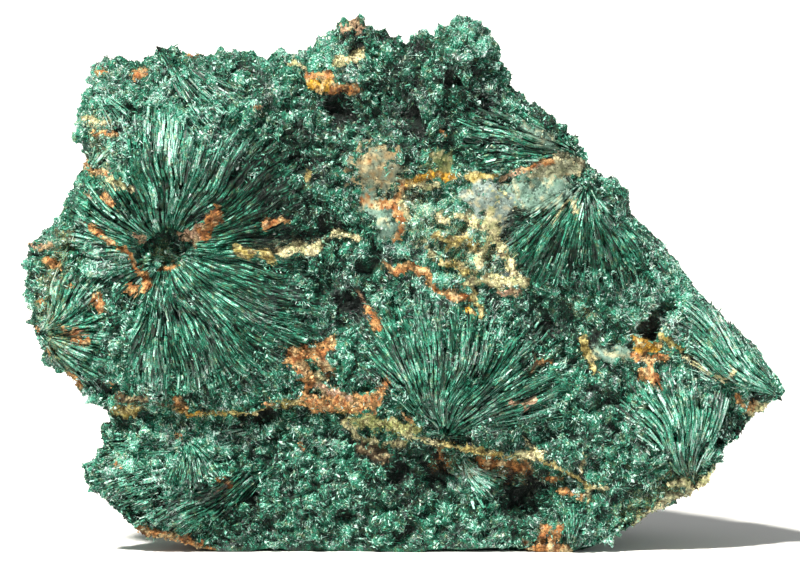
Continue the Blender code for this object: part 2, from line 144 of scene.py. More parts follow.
def add(tree, kind, links=None, **settings):
    """Adds a node: settings are its own properties, links fill its sockets with values or other sockets."""
    node = tree.nodes.new(kind)
    for name, value in settings.items():
        setattr(node, name, value)
    for name, value in (links or {}).items():
        socket = node.inputs[name]
        if isinstance(value, bpy.types.NodeSocket):
            tree.links.new(value, socket)
        else:
            socket.default_value = value
    return node


def new_material(name):
    """A material with a Principled shader, as (material, tree, shader)."""
    material = bpy.data.materials.new(name)
    material.use_nodes = True
    tree = material.node_tree
    return material, tree, tree.nodes["Principled BSDF"]


def placed(obj):
    """The object, put into the scene."""
    bpy.context.scene.collection.objects.link(obj)
    return obj


print("middle grey is", [round(value, 3) for value in linear("#808080")], "in linear light")

# %% Floor and lights
FLOOR_RADIUS = 7.0
FLOOR_SIDES = 96
FLOOR_PAPER = "#f4f4f2"
PAPER_ROUGHNESS = 0.9
KEY = {"name": "key", "origin": (-0.34, -0.47, 0.82), "strength": 7.2, "spread": 6.0, "colour": "#fffaf2"}
FILL = {"name": "fill", "origin": (0.9, -1.1, 0.45), "strength": 0.35, "spread": 40.0, "colour": "#eef4ff"}
SKY_COLOUR = "#ffffff"
SKY_STRENGTH = 0.32

floor_mesh = bpy.data.meshes.new("floor")
ring = bmesh.new()
bmesh.ops.create_circle(ring, cap_ends=True, segments=FLOOR_SIDES, radius=FLOOR_RADIUS)
ring.to_mesh(floor_mesh)
ring.free()
floor = placed(bpy.data.objects.new("floor", floor_mesh))
paper, _, paper_shader = new_material("matt white paper")
paper_shader.inputs["Base Color"].default_value = (*linear(FLOOR_PAPER), 1.0)
paper_shader.inputs["Roughness"].default_value = PAPER_ROUGHNESS
floor_mesh.materials.append(paper)
floor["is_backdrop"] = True


def sun(name, origin, strength, spread, colour):
    """A distant lamp shining from a direction; spread in degrees softens its shadows."""
    data = bpy.data.lights.new(name, "SUN")
    data.energy = strength
    data.angle = math.radians(spread)
    data.color = linear(colour)
    lamp = placed(bpy.data.objects.new(name, data))
    lamp.rotation_euler = Vector(origin).to_track_quat("Z", "Y").to_euler()


for lamp_facts in (KEY, FILL):
    sun(**lamp_facts)
world = bpy.data.worlds.new("studio")
world.use_nodes = True
sky = world.node_tree.nodes["Background"]
sky.inputs["Color"].default_value = (*linear(SKY_COLOUR), 1.0)
sky.inputs["Strength"].default_value = SKY_STRENGTH
bpy.context.scene.world = world
bpy.context.scene.view_settings.view_transform = "Standard"
print("floor, two distant lamps and an even sky")

# %% [markdown]
# ## Noise
#
# Everything natural here needs noise: for relief, for torn edges, for shade. Blender's own noise takes one
# point at a time, which is slow for a few hundred thousand, so this is gradient noise over whole arrays: each
# corner of a lattice gets a slope by hashing its whole numbers, and the slopes are blended. Most uses add up
# two or three sizes of it, so a list of layers says how strong, how large in millimetres and which seed.

# %% Noise
GRADIENT_COUNT = 64
GRADIENT_SEED = 7
NOISE_GAIN = 1.7
SEED_SHIFT = 0.37
HASH_FACTORS = (73856093, 19349663, 83492791, 2654435761)
HASH_MIX = 1274126177
HASH_LARGEST = 0x7FFFFFFF
slope_draw = np.random.default_rng(GRADIENT_SEED)
GRADIENTS = slope_draw.normal(0.0, 1.0, (GRADIENT_COUNT, 3))
GRADIENTS /= np.linalg.norm(GRADIENTS, axis=1, keepdims=True)


def hashed(first, second, third, seed):
    """A repeatable pseudo-random whole number for each triple of whole numbers."""
    value = (first.astype(np.int64) * HASH_FACTORS[0]) ^ (second.astype(np.int64) * HASH_FACTORS[1])
    value ^= (third.astype(np.int64) * HASH_FACTORS[2]) ^ np.int64(seed * HASH_FACTORS[3])
    value = (value ^ (value >> 13)) * np.int64(HASH_MIX)
    return (value ^ (value >> 16)) & np.int64(HASH_LARGEST)


def chance(first, second, third, seed):
    """The same as a number from 0 to 1."""
    return hashed(first, second, third, seed) / float(HASH_LARGEST)


def wavy(points, scale, seed):
    """Soft noise of about -1 to 1 at each point, with lumps about scale metres across."""
    grid = np.nan_to_num(points) / scale + SEED_SHIFT * seed
    cell = np.floor(grid)
    part = grid - cell
    cell = cell.astype(np.int64)
    fade = part ** 3 * (part * (6.0 * part - 15.0) + 10.0)
    total = np.zeros(len(points))
    for corner in itertools.product((0, 1), repeat=3):
        pick = hashed(*(cell + np.array(corner)).T, seed) % GRADIENT_COUNT
        slope = np.einsum("ij,ij->i", GRADIENTS[pick], part - corner)
        total += slope * np.prod(np.where(np.array(corner, bool), fade, 1.0 - fade), axis=1)
    return NOISE_GAIN * total


def layered(points, layers):
    """Noises added up: each layer is a strength, a size in millimetres and a seed."""
    return sum(strength * wavy(points, size * MM, seed) for strength, size, seed in layers)


def eased(values, low, high):
    """0 below low, 1 above high, and a smooth step between."""
    share = np.clip((values - low) / (high - low), 0.0, 1.0)
    return share * share * (3.0 - 2.0 * share)


def faded(values, low, high):
    """1 below low, 0 above high, and a smooth step between."""
    return 1.0 - eased(values, low, high)


print("noise ready")

# %% [markdown]
# ## Where the fibres spread from
#
# Each spray is an apex and a few (direction, reach) pairs: directions in degrees with 0 to the right and 90
# upwards, reaches in pixels. Between the pairs the reach is interpolated, which lets one short list describe
# the whole rosette on the left. The last two values are the fibres' usual length in millimetres and how pale
# the spray is. The solid was modelled from the same sprays, so the fibres lie along its ribs. The back, which
# the picture doesn't show, has sprays of its own. Some sprays are broken into coarser splinters on one side,
# so a second list gives (direction, coarseness) pairs for those.

# %% Sprays
FRONT_SPRAYS = {
    "rosette": ((165, 250), ((0, 135), (35, 172), (60, 160), (90, 150), (120, 135), (180, 105),
                             (240, 136), (270, 145), (315, 188), (340, 176), (360, 135)), 4.4, 0.00),
    "left_spray": ((38, 330), ((-62, 78), (-20, 92), (75, 92)), 3.2, 0.10),
    "middle_spray": ((440, 437), ((8, 120), (35, 165), (65, 150), (90, 150), (125, 150), (140, 90)),
                     5.0, 0.00),
    "lower_right_spray": ((695, 485), ((62, 90), (90, 122), (140, 118)), 6.0, 0.16),
    "right_tip_spray": ((784, 398), ((112, 110), (140, 150), (166, 112)), 6.0, 0.14),
    "shoulder_spray": ((585, 176), ((203, 92), (222, 128), (262, 112), (312, 132)), 4.6, 0.00),
    "silky_spray": ((578, 155), ((138, 100), (162, 130), (190, 112)), 5.0, -0.02),
    "small_spray": ((346, 224), ((55, 34), (125, 34)), 2.4, -0.04),
    "under_seam_spray": ((190, 430), ((236, 56), (324, 56)), 3.6, 0.02),
    "upper_spray": ((158, 50), ((296, 94), (336, 94)), 5.0, -0.06),
    "corner_spray": ((96, 76), ((280, 54), (320, 54)), 3.6, -0.04),
    "left_upper_spray": ((90, 168), ((16, 42), (78, 42)), 2.8, 0.10),
    "bottom_spray": ((572, 550), ((58, 50), (112, 50)), 3.6, 0.06),
    "slant_spray": ((456, 448), ((286, 62), (330, 66)), 3.2, 0.12),
    "lower_left_sweep": ((322, 424), ((182, 246), (200, 246), (224, 168)), 3.2, 0.04),
}
BACK_SPRAYS = {
    "back_rosette": ((457, 259), ((0, 130), (90, 125), (180, 135), (270, 130), (360, 130)), 5.0, 0.04),
    "back_left_spray": ((195, 325), ((-70, 110), (0, 118), (95, 108)), 5.0, 0.08),
    "back_right_spray": ((613, 382), ((95, 100), (150, 108), (215, 100)), 5.0, 0.00),
    "back_lower_spray": ((367, 464), ((20, 92), (160, 100)), 4.5, 0.06),
}
SPRAYS = {-1: FRONT_SPRAYS, 1: BACK_SPRAYS}
COARSENESS = {
    "rosette": ((-180, 1.0), (-120, 1.4), (-90, 1.4), (-60, 0.7), (-20, 0.4), (40, 0.45), (65, 0.8),
                (85, 1.5), (110, 1.4), (150, 1.0), (180, 1.0)),
    "middle_spray": ((0, 0.5), (30, 0.6), (50, 0.9), (110, 1.1), (140, 0.8)),
    "lower_right_spray": ((60, 0.9), (140, 1.3)),
    "shoulder_spray": ((-180, 1.0), (-120, 0.9), (-90, 1.0), (-40, 1.1)),
}
EVENLY_COARSE = ((-180, 1.0), (180, 1.0))


def coarseness(name, angle):
    """How chunky a spray's fibres are in each direction."""
    directions, coarse = zip(*COARSENESS.get(name, EVENLY_COARSE))
    return np.interp(np.degrees(np.arctan2(np.sin(angle), np.cos(angle))), directions, coarse)


def furthest_of(spray):
    """A spray's longest reach in pixels."""
    return max(reach for _, reach in spray[1])


def opening_of(spray):
    """A spray's first and last directions in radians."""
    return math.radians(spray[1][0][0]), math.radians(spray[1][-1][0])


def share_of(spray, px, py):
    """How far along a spray each pixel lies, 0 at the apex and 1 at the tips, and infinity outside it."""
    (apex_x, apex_y), reaches, _, _ = spray
    across, up = px - apex_x, apex_y - py
    radius = np.hypot(across, up)
    angle = np.degrees(np.arctan2(up, across))
    directions = [direction for direction, _ in reaches]
    share = np.full(radius.shape, np.inf)
    for turn in (angle, angle + 360.0):
        within = (turn >= directions[0]) & (turn <= directions[-1])
        reach = np.interp(turn, directions, [reach for _, reach in reaches])
        share = np.where(within & (radius < reach), np.minimum(share, radius / reach), share)
    return share


print("the rosette reaches", in_mm(furthest_of(FRONT_SPRAYS["rosette"]) * PIXEL), "mm at most")

# %% Which spray a place belongs to
EDGE_WANDERS = {"across": ((9.0, 6.0, 211), (6.0, 1.6, 217)), "up": ((9.0, 6.0, 212), (6.0, 1.6, 218))}
WANDER_REACH = 160.0
FLAT_DEPTH = 0.01


def freedom_of(spray):
    """How freely a spray's edge wanders, up to 1: small ones keep their shape, and come before large ones."""
    return min(1.0, furthest_of(spray) / WANDER_REACH)


def shares_at(x, z, side):
    """How far along every spray each place of the front (-1) or the back (1) lies, with wandering edges."""
    px, py = to_px(x, z)
    flat = np.column_stack([x, np.full(len(x), FLAT_DEPTH * side), z])
    across, up = (layered(flat, EDGE_WANDERS[way]) for way in ("across", "up"))
    return np.array([share_of(spray, px + freedom_of(spray) * across, py + freedom_of(spray) * up)
                     for spray in SPRAYS[side].values()])


def owner_of(x, z, side):
    """The number of the spray that each place belongs to, or -1."""
    shares = shares_at(x, z, side) * np.array([[freedom_of(spray)] for spray in SPRAYS[side].values()])
    return np.where(np.isfinite(shares.min(axis=0)), shares.argmin(axis=0), -1)


print(len(FRONT_SPRAYS), "sprays on the front,", len(BACK_SPRAYS), "on the back")

# %% [markdown]
# ## Bundles, steps and ledges
#
# A broken spray isn't smooth. Its fibres hold together in bundles a millimetre or less across, with a groove
# between neighbours that is sunk and also painted dark, and each bundle is broken off in steps along its
# length.
# Numbering the bundles by angle and the steps by distance gives every place a bundle, and a hash of those
# numbers gives its height and its shade. Bundles split in two where they would get too wide, as real ones do.
# Whole stretches of a spray are broken off lower than their neighbours, so a wider noise cuts each spray into
# two ledges.

# %% Bundles
BUNDLE_WIDTH = 0.70 * MM
BUNDLE_RUN = 4.6 * MM
FIRST_RADIUS = 2.0 * MM
LEAST_RADIUS = 0.5 * MM
SPLIT_SPREAD = 1.4
RAGGED = 0.6
SWAY = 0.75
SWAY_RUN = 9.0 * MM
CRACK = (0.30, 0.70, 1.1)
GROOVE_WIDTH = 2.1
GROOVE_CURVE = 0.8
RING_WAVES = 5.0
DRIFT_WAVES = 0.6
LEVELS_APART = 10.0
KINDS_APART = 64.0
CRACK_RUNS = 1.3
FLOW_STRETCH = 0.10
BUNDLE_SEEDS = {"ring": 31, "sway": 37, "start": 41, "run": 43, "height": 47, "tone": 53, "crack": 61,
                "reach": 67}


def bundle_at(angle, radius, number, width=BUNDLE_WIDTH, run_length=BUNDLE_RUN):
    """For places of a spray: a bundle's height and shade, the depth of the groove beside it, and its flow.

    Heights and shades run from 0 to 1. The groove is 0 on a bundle's back and 1 in the deepest crack."""
    seeds = BUNDLE_SEEDS
    around = np.column_stack([RING_WAVES * angle, 0.0 * angle, number + 0.0 * angle])
    ring_wave = wavy(around, 1.0, seeds["ring"])
    level = np.floor(np.log2(np.maximum(radius, LEAST_RADIUS) / FIRST_RADIUS) + RAGGED * ring_wave)
    spacing = width / (SPLIT_SPREAD * FIRST_RADIUS * 2.0 ** level)
    drift = np.column_stack([DRIFT_WAVES * angle / spacing, radius / SWAY_RUN, level + LEVELS_APART * number])
    across = angle / spacing + SWAY * wavy(drift, 1.0, seeds["sway"])
    index = np.floor(across)
    middle = 1.0 - np.abs(2.0 * (across - index) - 1.0)
    kind = level + KINDS_APART * number
    run = run_length * (0.5 + chance(index, kind, kind, seeds["run"]))
    run = np.floor(radius / run + chance(index, kind, kind, seeds["start"]))
    beside = np.floor(across + 0.5)
    reach = np.floor(CRACK_RUNS * radius / run_length + chance(beside, kind, kind, seeds["reach"]))
    crack = CRACK[0] + CRACK[1] * chance(beside, kind, reach, seeds["crack"]) ** CRACK[2]
    groove = crack * (1.0 - np.minimum(GROOVE_WIDTH * middle, 1.0) ** GROOVE_CURVE)
    flow = np.column_stack([across * width, FLOW_STRETCH * radius, kind * MM])
    height, tone = (chance(index, kind, run, seeds[key]) for key in ("height", "tone"))
    return height, tone, groove, flow


print("bundles", in_mm(BUNDLE_WIDTH), "mm wide, broken off every", in_mm(BUNDLE_RUN), "mm or so")

# %% Ledges, bowed rays and relief
LEDGES = ((1.0, 5.5, 311), (0.45, 1.65, 313))
LEDGE_HEIGHT = 0.85 * MM
LEDGE_EDGE = 0.06
LEDGE_SHARE = 0.6
LEDGES_APART = 0.02
STEP_HEIGHT = 0.46 * MM
GROOVE_DEPTH = 0.672 * MM
BOW = 1.3 * MM
BOW_SIZE = 9.0 * MM
BOW_SEEDS = (231, 237)


def ledge_at(angle, radius, number, height):
    """Whether each place lies on the upper (1) or the lower (0) ledge of its spray."""
    apart = np.full(len(angle), LEDGES_APART * number)
    flat = np.column_stack([radius * np.cos(angle), apart, radius * np.sin(angle)])
    return eased(layered(flat, LEDGES) + 0.5 * (height - 0.5), -LEDGE_EDGE, LEDGE_EDGE)


def bow_at(x, z):
    """How far each place is bent aside across and up, so that fibres bow a little."""
    flat = np.column_stack([x, 0.0 * x, z])
    return [BOW * wavy(flat, BOW_SIZE, seed) for seed in BOW_SEEDS]


def polar(spray, x, z):
    """Angle and distance of each place from a spray's apex, along its bowed rays."""
    apex_x, apex_z = from_px(*spray[0])
    bow_x, bow_z = bow_at(x, z)
    across, up = x - apex_x + bow_x, z - apex_z + bow_z
    return np.arctan2(up, across), np.hypot(across, up)


def bowed(spray, angle, radius):
    """The place that has an angle and a distance in a spray, undoing polar()."""
    apex_x, apex_z = from_px(*spray[0])
    x, z = apex_x + radius * np.cos(angle), apex_z + radius * np.sin(angle)
    bow_x, bow_z = bow_at(x, z)
    return x - bow_x, z - bow_z


def spray_relief(height, groove, ledge):
    """How far a bundle stands out of the stone's surface, in metres."""
    return STEP_HEIGHT * (height - 0.5) - GROOVE_DEPTH * groove + LEDGE_HEIGHT * (ledge - LEDGE_SHARE)


print("ledges", in_mm(LEDGE_HEIGHT), "mm high, grooves up to", in_mm(GROOVE_DEPTH), "mm deep")

# %% [markdown]
# ## Felt
#
# Where sprays of every direction meet, the break is a felt of short fibres heaped up like coral: rounded
# lumps with creases between them and dark holes. Noise folded at zero gives just that, rounded tops and
# sharp creases, so two sizes of it and a third noise for the holes make the relief. Some places of the front
# have no spray at all, such as the pit of the rosette, so a list of hollows keeps them for the felt.

# %% Felt relief
# Each tone says how strongly that noise paints light and shade: paler on top of the lumps, darker in the
# creases and the holes.
LUMPS = {"size": 2.4 * MM, "height": 0.90 * MM, "tone": 0.75, "seed": 51}
NUBS = {"size": 0.95 * MM, "height": 0.66 * MM, "tone": 0.45, "seed": 57}
HOLES = {"size": 5.0 * MM, "height": 0.90 * MM, "tone": 0.60, "seed": 61}
FOLD_HEIGHT, FOLD_SINK = 2.2, 0.75
HOLE_RIM, HOLE_FLOOR = 0.22, 0.75


def felt_relief(points):
    """Relief of the felt in metres, and how high each place is on its lump, from -1 to 1, lowered in the
    holes: the level by which painted light and shade are laid on the felt.
    """
    fields = [wavy(points, form["size"], form["seed"]) for form in (LUMPS, NUBS, HOLES)]
    lumps, nubs = (FOLD_HEIGHT * np.abs(field) - FOLD_SINK for field in fields[:2])
    holes = eased(fields[2], HOLE_RIM, HOLE_FLOOR)
    relief, tone = (LUMPS[key] * lumps + NUBS[key] * nubs - HOLES[key] * holes for key in ("height", "tone"))
    return relief, np.clip(tone, -1.0, 1.0)


print("felt lumps", in_mm(LUMPS["size"]), "mm across, nubs", in_mm(NUBS["size"]), "mm")

# %% Hollows
HOLLOWS = (
    (155, 246, 17), (174, 243, 18), (353, 46, 12), (340, 107, 17), (420, 48, 10), (479, 64, 11),
    (451, 78, 9), (446, 117, 9), (648, 326, 13), (592, 336, 8), (352, 302, 15), (277, 527, 9),
    (437, 472, 17), (522, 488, 24), (300, 128, 14),
)
BARE_PLACES = ((322, 424, 40), (288, 440, 34), (254, 452, 26))
HOLLOW_BENDS = ((9.0, 2.2, 251), (9.0, 2.2, 253))
HOLLOW_EDGE = (0.6, 1.1)
HOLLOW_DEPTH = -6.0 * MM


def hollow_at(points, places=HOLLOWS + BARE_PLACES):
    """How close each point is to a place of the front without sprays, 0 to 1."""
    px, py = to_px(points[:, 0], points[:, 2])
    px, py = px + layered(points, HOLLOW_BENDS[:1]), py + layered(points, HOLLOW_BENDS[1:])
    near = np.zeros(len(px))
    for hollow_x, hollow_y, radius in places:
        away = np.hypot(px - hollow_x, py - hollow_y)
        near = np.maximum(near, faded(away, HOLLOW_EDGE[0] * radius, HOLLOW_EDGE[1] * radius))
    return near * (points[:, 1] < HOLLOW_DEPTH)


print(len(HOLLOWS), "hollows")

# %% [markdown]
# ## The crust and the veins
#
# Brown to yellow limonite, a rusty iron earth, fills the seams and lies in patches on the green. Chalky
# cream patches, smooth silky domes and faint stains are part of the same story. Each is a stroke: an earth,
# half its width in pixels, and the few points it runs through. Noise then bends, swells and tears the
# strokes, as the real crust is torn, so they say where the crust is and not what its outline looks like.

# %% Crust strokes
EARTHS = {
    "orange": ("#a4683c", "#d3a56c"), "rust": ("#6a4226", "#a2703f"), "yellow": ("#cdbf7e", "#8a7a3c"),
    "gold": ("#d2a338", "#96702a"), "cream": ("#ece3b6", "#b4b684"), "pink": ("#c4a088", "#9d8466"),
    "olive": ("#8d9458", "#b6ba80"), "brown": ("#4c3f2e", "#2c2a20"), "tan": ("#a2a488", "#767c60"),
    "grey": ("#6d8e7d", "#86a596"), "lilac": ("#9cb0a8", "#798c84"), "dun": ("#7f8a75", "#93825f"),
    "moss": ("#56683f", "#7d7f50"),
}
EARTHS = {earth: [np.array(linear(colour)) for colour in pair] for earth, pair in EARTHS.items()}
CHALK = np.array(linear("#e6d8a8"))
STROKES = (
    ("orange", 8, (294, 350), (300, 362), (308, 374)), ("orange", 7, (300, 350), (318, 348), (330, 341)),
    ("rust", 5, (318, 352), (326, 362), (329, 372)), ("orange", 4, (322, 345), (334, 335)),
    ("cream", 3, (306, 376), (318, 371), (329, 378)), ("orange", 8, (306, 397), (322, 403), (340, 402)),
    ("orange", 8, (340, 400), (358, 402), (374, 400)), ("orange", 4, (372, 402), (380, 392), (386, 378)),
    ("orange", 3, (306, 380), (304, 396)), ("pink", 4, (322, 384), (340, 392), (352, 396)),
    ("orange", 5, (368, 306), (374, 314), (378, 322)), ("pink", 2, (357, 288), (366, 302)),
    ("orange", 5, (266, 219), (275, 217), (284, 216)), ("rust", 7, (206, 230), (214, 218), (220, 210)),
    ("pink", 6, (188, 230), (198, 235), (204, 226)),
    ("orange", 3, (93, 223), (104, 232), (118, 238), (128, 246)),
    ("orange", 3, (128, 246), (138, 262), (147, 272)), ("orange", 4, (95, 225), (103, 233)),
    ("orange", 6, (134, 284), (146, 280)), ("orange", 3, (160, 267), (176, 264)),
    ("pink", 3, (139, 231), (144, 236)), ("orange", 4, (107, 191), (112, 199)),
    ("pink", 2, (88, 193), (92, 197)), ("orange", 3, (83, 162), (96, 168), (110, 171)),
    ("cream", 3, (110, 172), (122, 180), (135, 188)), ("pink", 3, (26, 240), (34, 247)),
    ("pink", 3, (42, 246), (54, 241)), ("orange", 4, (49, 257), (58, 262)),
    ("orange", 2, (70, 282), (76, 284)), ("orange", 5, (98, 293), (104, 302)),
    ("orange", 5, (77, 330), (87, 337)), ("orange", 2, (66, 321), (70, 326)),
    ("orange", 2, (37, 326), (40, 331)), ("orange", 2, (43, 299), (47, 303)),
    ("orange", 2, (48, 349), (51, 353)), ("orange", 4, (71, 372), (81, 384)),
    ("orange", 2, (111, 380), (115, 382)), ("orange", 3, (266, 402), (273, 402)),
    ("orange", 4, (386, 262), (394, 270), (402, 268)),
    ("orange", 4, (400, 264), (414, 264), (428, 272), (434, 284)),
    ("orange", 3, (432, 284), (450, 292), (470, 294)), ("yellow", 4, (472, 292), (480, 304), (482, 317)),
    ("gold", 3, (466, 306), (476, 312)), ("pink", 3, (498, 289), (520, 290)),
    ("gold", 6, (634, 341), (645, 345), (656, 347)), ("yellow", 3, (660, 335), (680, 347)),
    ("orange", 6, (636, 352), (648, 358), (660, 352)), ("orange", 5, (643, 370), (655, 377)),
    ("cream", 2, (683, 355), (702, 366), (716, 376), (726, 380), (734, 369)),
    ("brown", 2, (531, 346), (535, 358), (533, 369)), ("rust", 2, (536, 358), (551, 358)),
    ("yellow", 4, (580, 334), (586, 350), (592, 366)), ("pink", 3, (512, 398), (524, 400), (533, 396)),
    ("pink", 2, (523, 401), (527, 408)), ("orange", 2, (404, 413), (412, 419)),
    ("cream", 6, (700, 488), (712, 478), (718, 468)), ("cream", 4, (670, 482), (684, 480), (692, 488)),
    ("tan", 5, (638, 524), (652, 511), (668, 498), (690, 492)), ("orange", 3, (640, 522), (656, 508)),
    ("rust", 5, (131, 532), (150, 530), (170, 534), (186, 539), (200, 543)),
    ("orange", 3, (133, 530), (168, 532)), ("rust", 2, (200, 542), (216, 547)),
    ("rust", 6, (530, 546), (548, 545), (566, 548)), ("orange", 4, (536, 544), (540, 535), (545, 526)),
    ("orange", 4, (550, 540), (552, 535), (560, 524)), ("orange", 2, (116, 461), (121, 464)),
    ("orange", 2, (113, 510), (118, 513)), ("orange", 2, (177, 433), (181, 430)),
    ("rust", 3, (219, 474), (232, 482)), ("orange", 2, (300, 440), (307, 448)),
    ("brown", 6, (363, 446), (385, 456)), ("brown", 4, (117, 394), (132, 396), (146, 393)),
    ("yellow", 5, (113, 408), (126, 410), (140, 406)),
    ("brown", 2, (136, 405), (150, 396), (165, 402), (178, 408), (189, 414)),
    ("gold", 4, (178, 406), (190, 411), (202, 410)), ("orange", 4, (176, 397), (186, 402)),
    ("yellow", 3, (200, 412), (225, 410), (251, 412), (266, 408)),
    ("yellow", 2, (266, 403), (283, 399), (302, 397)),
    ("yellow", 3, (283, 404), (302, 399), (325, 403), (345, 409)),
    ("olive", 7, (353, 418), (375, 421), (398, 424), (414, 428)),
    ("cream", 3, (346, 420), (362, 438), (380, 441), (400, 443)),
    ("cream", 3, (400, 431), (423, 437), (438, 443)),
    ("yellow", 3, (442, 441), (464, 445), (483, 450), (515, 454)), ("cream", 6, (524, 452), (536, 450)),
    ("cream", 2, (528, 438), (532, 450)), ("yellow", 3, (540, 456), (556, 462), (572, 472), (590, 484)),
    ("cream", 4, (592, 484), (602, 484)), ("cream", 2, (590, 486), (586, 498)),
    ("rust", 5, (482, 460), (505, 465), (526, 466)), ("orange", 3, (548, 476), (559, 479)),
    ("orange", 3, (560, 488), (580, 494)), ("cream", 2, (582, 450), (580, 470)),
    ("rust", 2, (438, 446), (446, 462)), ("gold", 5, (314, 84), (322, 88), (330, 82)),
    ("orange", 5, (312, 76), (326, 72), (334, 78)), ("rust", 5, (334, 86), (348, 88), (356, 88)),
    ("cream", 5, (338, 60), (350, 57), (362, 52)), ("cream", 3, (290, 62), (304, 68)),
    ("pink", 5, (343, 27), (352, 22), (362, 26)), ("rust", 2, (438, 126), (444, 136)),
    ("yellow", 2, (310, 165), (308, 182)),
    ("cream", 3, (403, 197), (404, 185), (416, 180), (428, 184), (436, 182)),
    ("yellow", 4, (468, 178), (478, 172), (492, 174)), ("cream", 2.5, (489, 184), (505, 193), (517, 205)),
    ("pink", 3, (496, 177), (514, 171), (528, 167), (540, 161)),
    ("cream", 5, (458, 212), (468, 216), (476, 222)), ("cream", 4, (438, 214), (447, 220)),
    ("cream", 6, (494, 218), (498, 241), (506, 260), (520, 278)),
    ("cream", 5, (478, 262), (486, 245), (495, 230)),
    ("cream", 6, (466, 282), (485, 278), (505, 282), (522, 280)), ("cream", 3, (401, 201), (407, 208)),
    ("cream", 3, (424, 240), (432, 250)), ("tan", 8, (534, 170), (550, 168), (564, 164)),
    ("tan", 7, (556, 156), (568, 160), (580, 166)),
    ("cream", 2, (556, 212), (562, 200), (570, 196), (576, 208)), ("cream", 4, (336, 231), (356, 234)),
    ("yellow", 5, (238, 246), (250, 252)), ("yellow", 5, (266, 250), (272, 258)),
    ("cream", 6, (282, 250), (298, 246), (316, 246)), ("rust", 4, (364, 200), (384, 198)),
    ("cream", 3, (84, 115), (96, 118)), ("orange", 2, (95, 131), (120, 131)),
    ("cream", 2, (98, 120), (112, 121)), ("orange", 4, (136, 74), (147, 70)),
    ("orange", 3, (96, 72), (108, 72)), ("orange", 2, (186, 53), (196, 55)),
    ("orange", 2, (256, 105), (262, 106)), ("orange", 4, (736, 396), (753, 408)),
    ("cream", 4, (752, 410), (766, 408)), ("rust", 4, (368, 158), (380, 164)),
    ("orange", 5, (368, 197), (384, 203), (397, 196), (405, 182)),
    ("gold", 4, (405, 181), (420, 175), (436, 172), (456, 176)),
    ("orange", 4, (396, 206), (402, 222), (396, 238)),
    ("yellow", 4, (436, 232), (450, 240), (464, 236), (474, 246)),
    ("cream", 5, (498, 196), (488, 212), (484, 226)), ("yellow", 4, (440, 258), (456, 262), (468, 270)),
    ("orange", 3, (520, 170), (540, 160), (552, 158)),
)
SILKS = (
    ("dun", 23, (374, 166)), ("lilac", 19, (484, 196), (500, 202)), ("grey", 19, (520, 192), (552, 186)),
    ("moss", 14, (442, 158)), ("dun", 11, (538, 172), (566, 164)), ("grey", 12, (372, 196), (392, 226)),
    ("grey", 8, (596, 350), (622, 350)), ("grey", 7, (550, 140), (524, 128)),
)
STAINS = (
    ("cream", 28, (398, 192), (430, 222), (478, 256)), ("yellow", 15, (64, 236), (48, 300), (62, 352)),
    ("cream", 12, (96, 120), (110, 176)), ("olive", 14, (690, 470), (620, 512)),
    ("rust", 14, (440, 462), (530, 474)), ("tan", 12, (250, 250), (330, 240)),
    # The brown stain over the hollow at 640 by 322 colours it dark brown, partly brown earth and partly
    # painted shade of the hollow.
    ("olive", 12, (158, 252), (174, 254)), ("brown", 15, (640, 322), (655, 328)),
    ("yellow", 10, (574, 298), (590, 314)),
)
print(len(STROKES), "strokes of crust,", len(SILKS), "silky domes and", len(STAINS), "stains")

# %% Laying the crust on
BENDS_ACROSS = ((3.2, 2.0, 5), (1.6, 0.7, 6))
BENDS_UP = ((3.2, 2.0, 9), (1.6, 0.7, 10))
TEARS = ((0.5, 0.8, 8), (0.7, 0.35, 11))
SWELLS = ((0.75, 1.5, 12), (0.45, 0.6, 13))
EARTH_BLENDS = ((1.0, 1.1, 15), (0.6, 0.35, 16))
CHALKINGS = ((1.0, 1.3, 18), (0.6, 0.4, 19))
EARTH_RANGE = (-0.35, 0.35)
CHALK_RANGE = (0.10, 0.60)
MARGIN_WIDTHS, MARGIN_TEARS = 2.4, 3.0
TEAR = 3.4
CHALK_SHARE = 0.55
THINNING = 1.1
CRUST_EDGE = 5.5
SILK_EDGE = 12.0
CRUST_DEPTH = -2.0 * MM


def near_stroke(px, py, points):
    """How many pixels each place lies from a stroke's line."""
    best = np.full(px.shape, np.inf)
    for start, end in zip(points, points[1:] or points):
        run_x, run_y = end[0] - start[0], end[1] - start[1]
        length = max(run_x * run_x + run_y * run_y, 1e-9)
        share = np.clip(((px - start[0]) * run_x + (py - start[1]) * run_y) / length, 0.0, 1.0)
        best = np.minimum(best, np.hypot(px - start[0] - share * run_x, py - start[1] - share * run_y))
    return best


def stroked(points, strokes, tear, edge):
    """The crust's colour and amount at each point of the front."""
    px, py = to_px(points[:, 0], points[:, 2])
    px, py = px + layered(points, BENDS_ACROSS), py + layered(points, BENDS_UP)
    torn = TEAR * tear * layered(points, TEARS)
    swell = 1.0 + layered(points, SWELLS)
    blend = eased(layered(points, EARTH_BLENDS), *EARTH_RANGE)[:, None]
    chalk = CHALK_SHARE * eased(layered(points, CHALKINGS), *CHALK_RANGE)[:, None]
    colour = np.zeros((len(px), 3))
    amount = np.zeros(len(px))
    for earth, reach, *places in strokes:
        margin = MARGIN_WIDTHS * reach + MARGIN_TEARS * TEAR + edge
        low_x, low_y = np.min(places, axis=0) - margin
        high_x, high_y = np.max(places, axis=0) + margin
        near = np.flatnonzero((px > low_x) & (px < high_x) & (py > low_y) & (py < high_y))
        inward = reach * swell[near] - near_stroke(px[near], py[near], places) + torn[near] - THINNING
        level = np.clip(inward / edge + 0.5, 0.0, 1.0)
        taken = level > amount[near]
        near, level = near[taken], level[taken]
        first, second = EARTHS[earth]
        mixed = first * (1.0 - blend[near]) + second * blend[near]
        colour[near] = mixed + (CHALK - mixed) * chalk[near]
        amount[near] = level
    return colour, amount * (points[:, 1] < CRUST_DEPTH)


print("a crust's outline is torn by about", in_mm(TEAR * PIXEL), "mm")

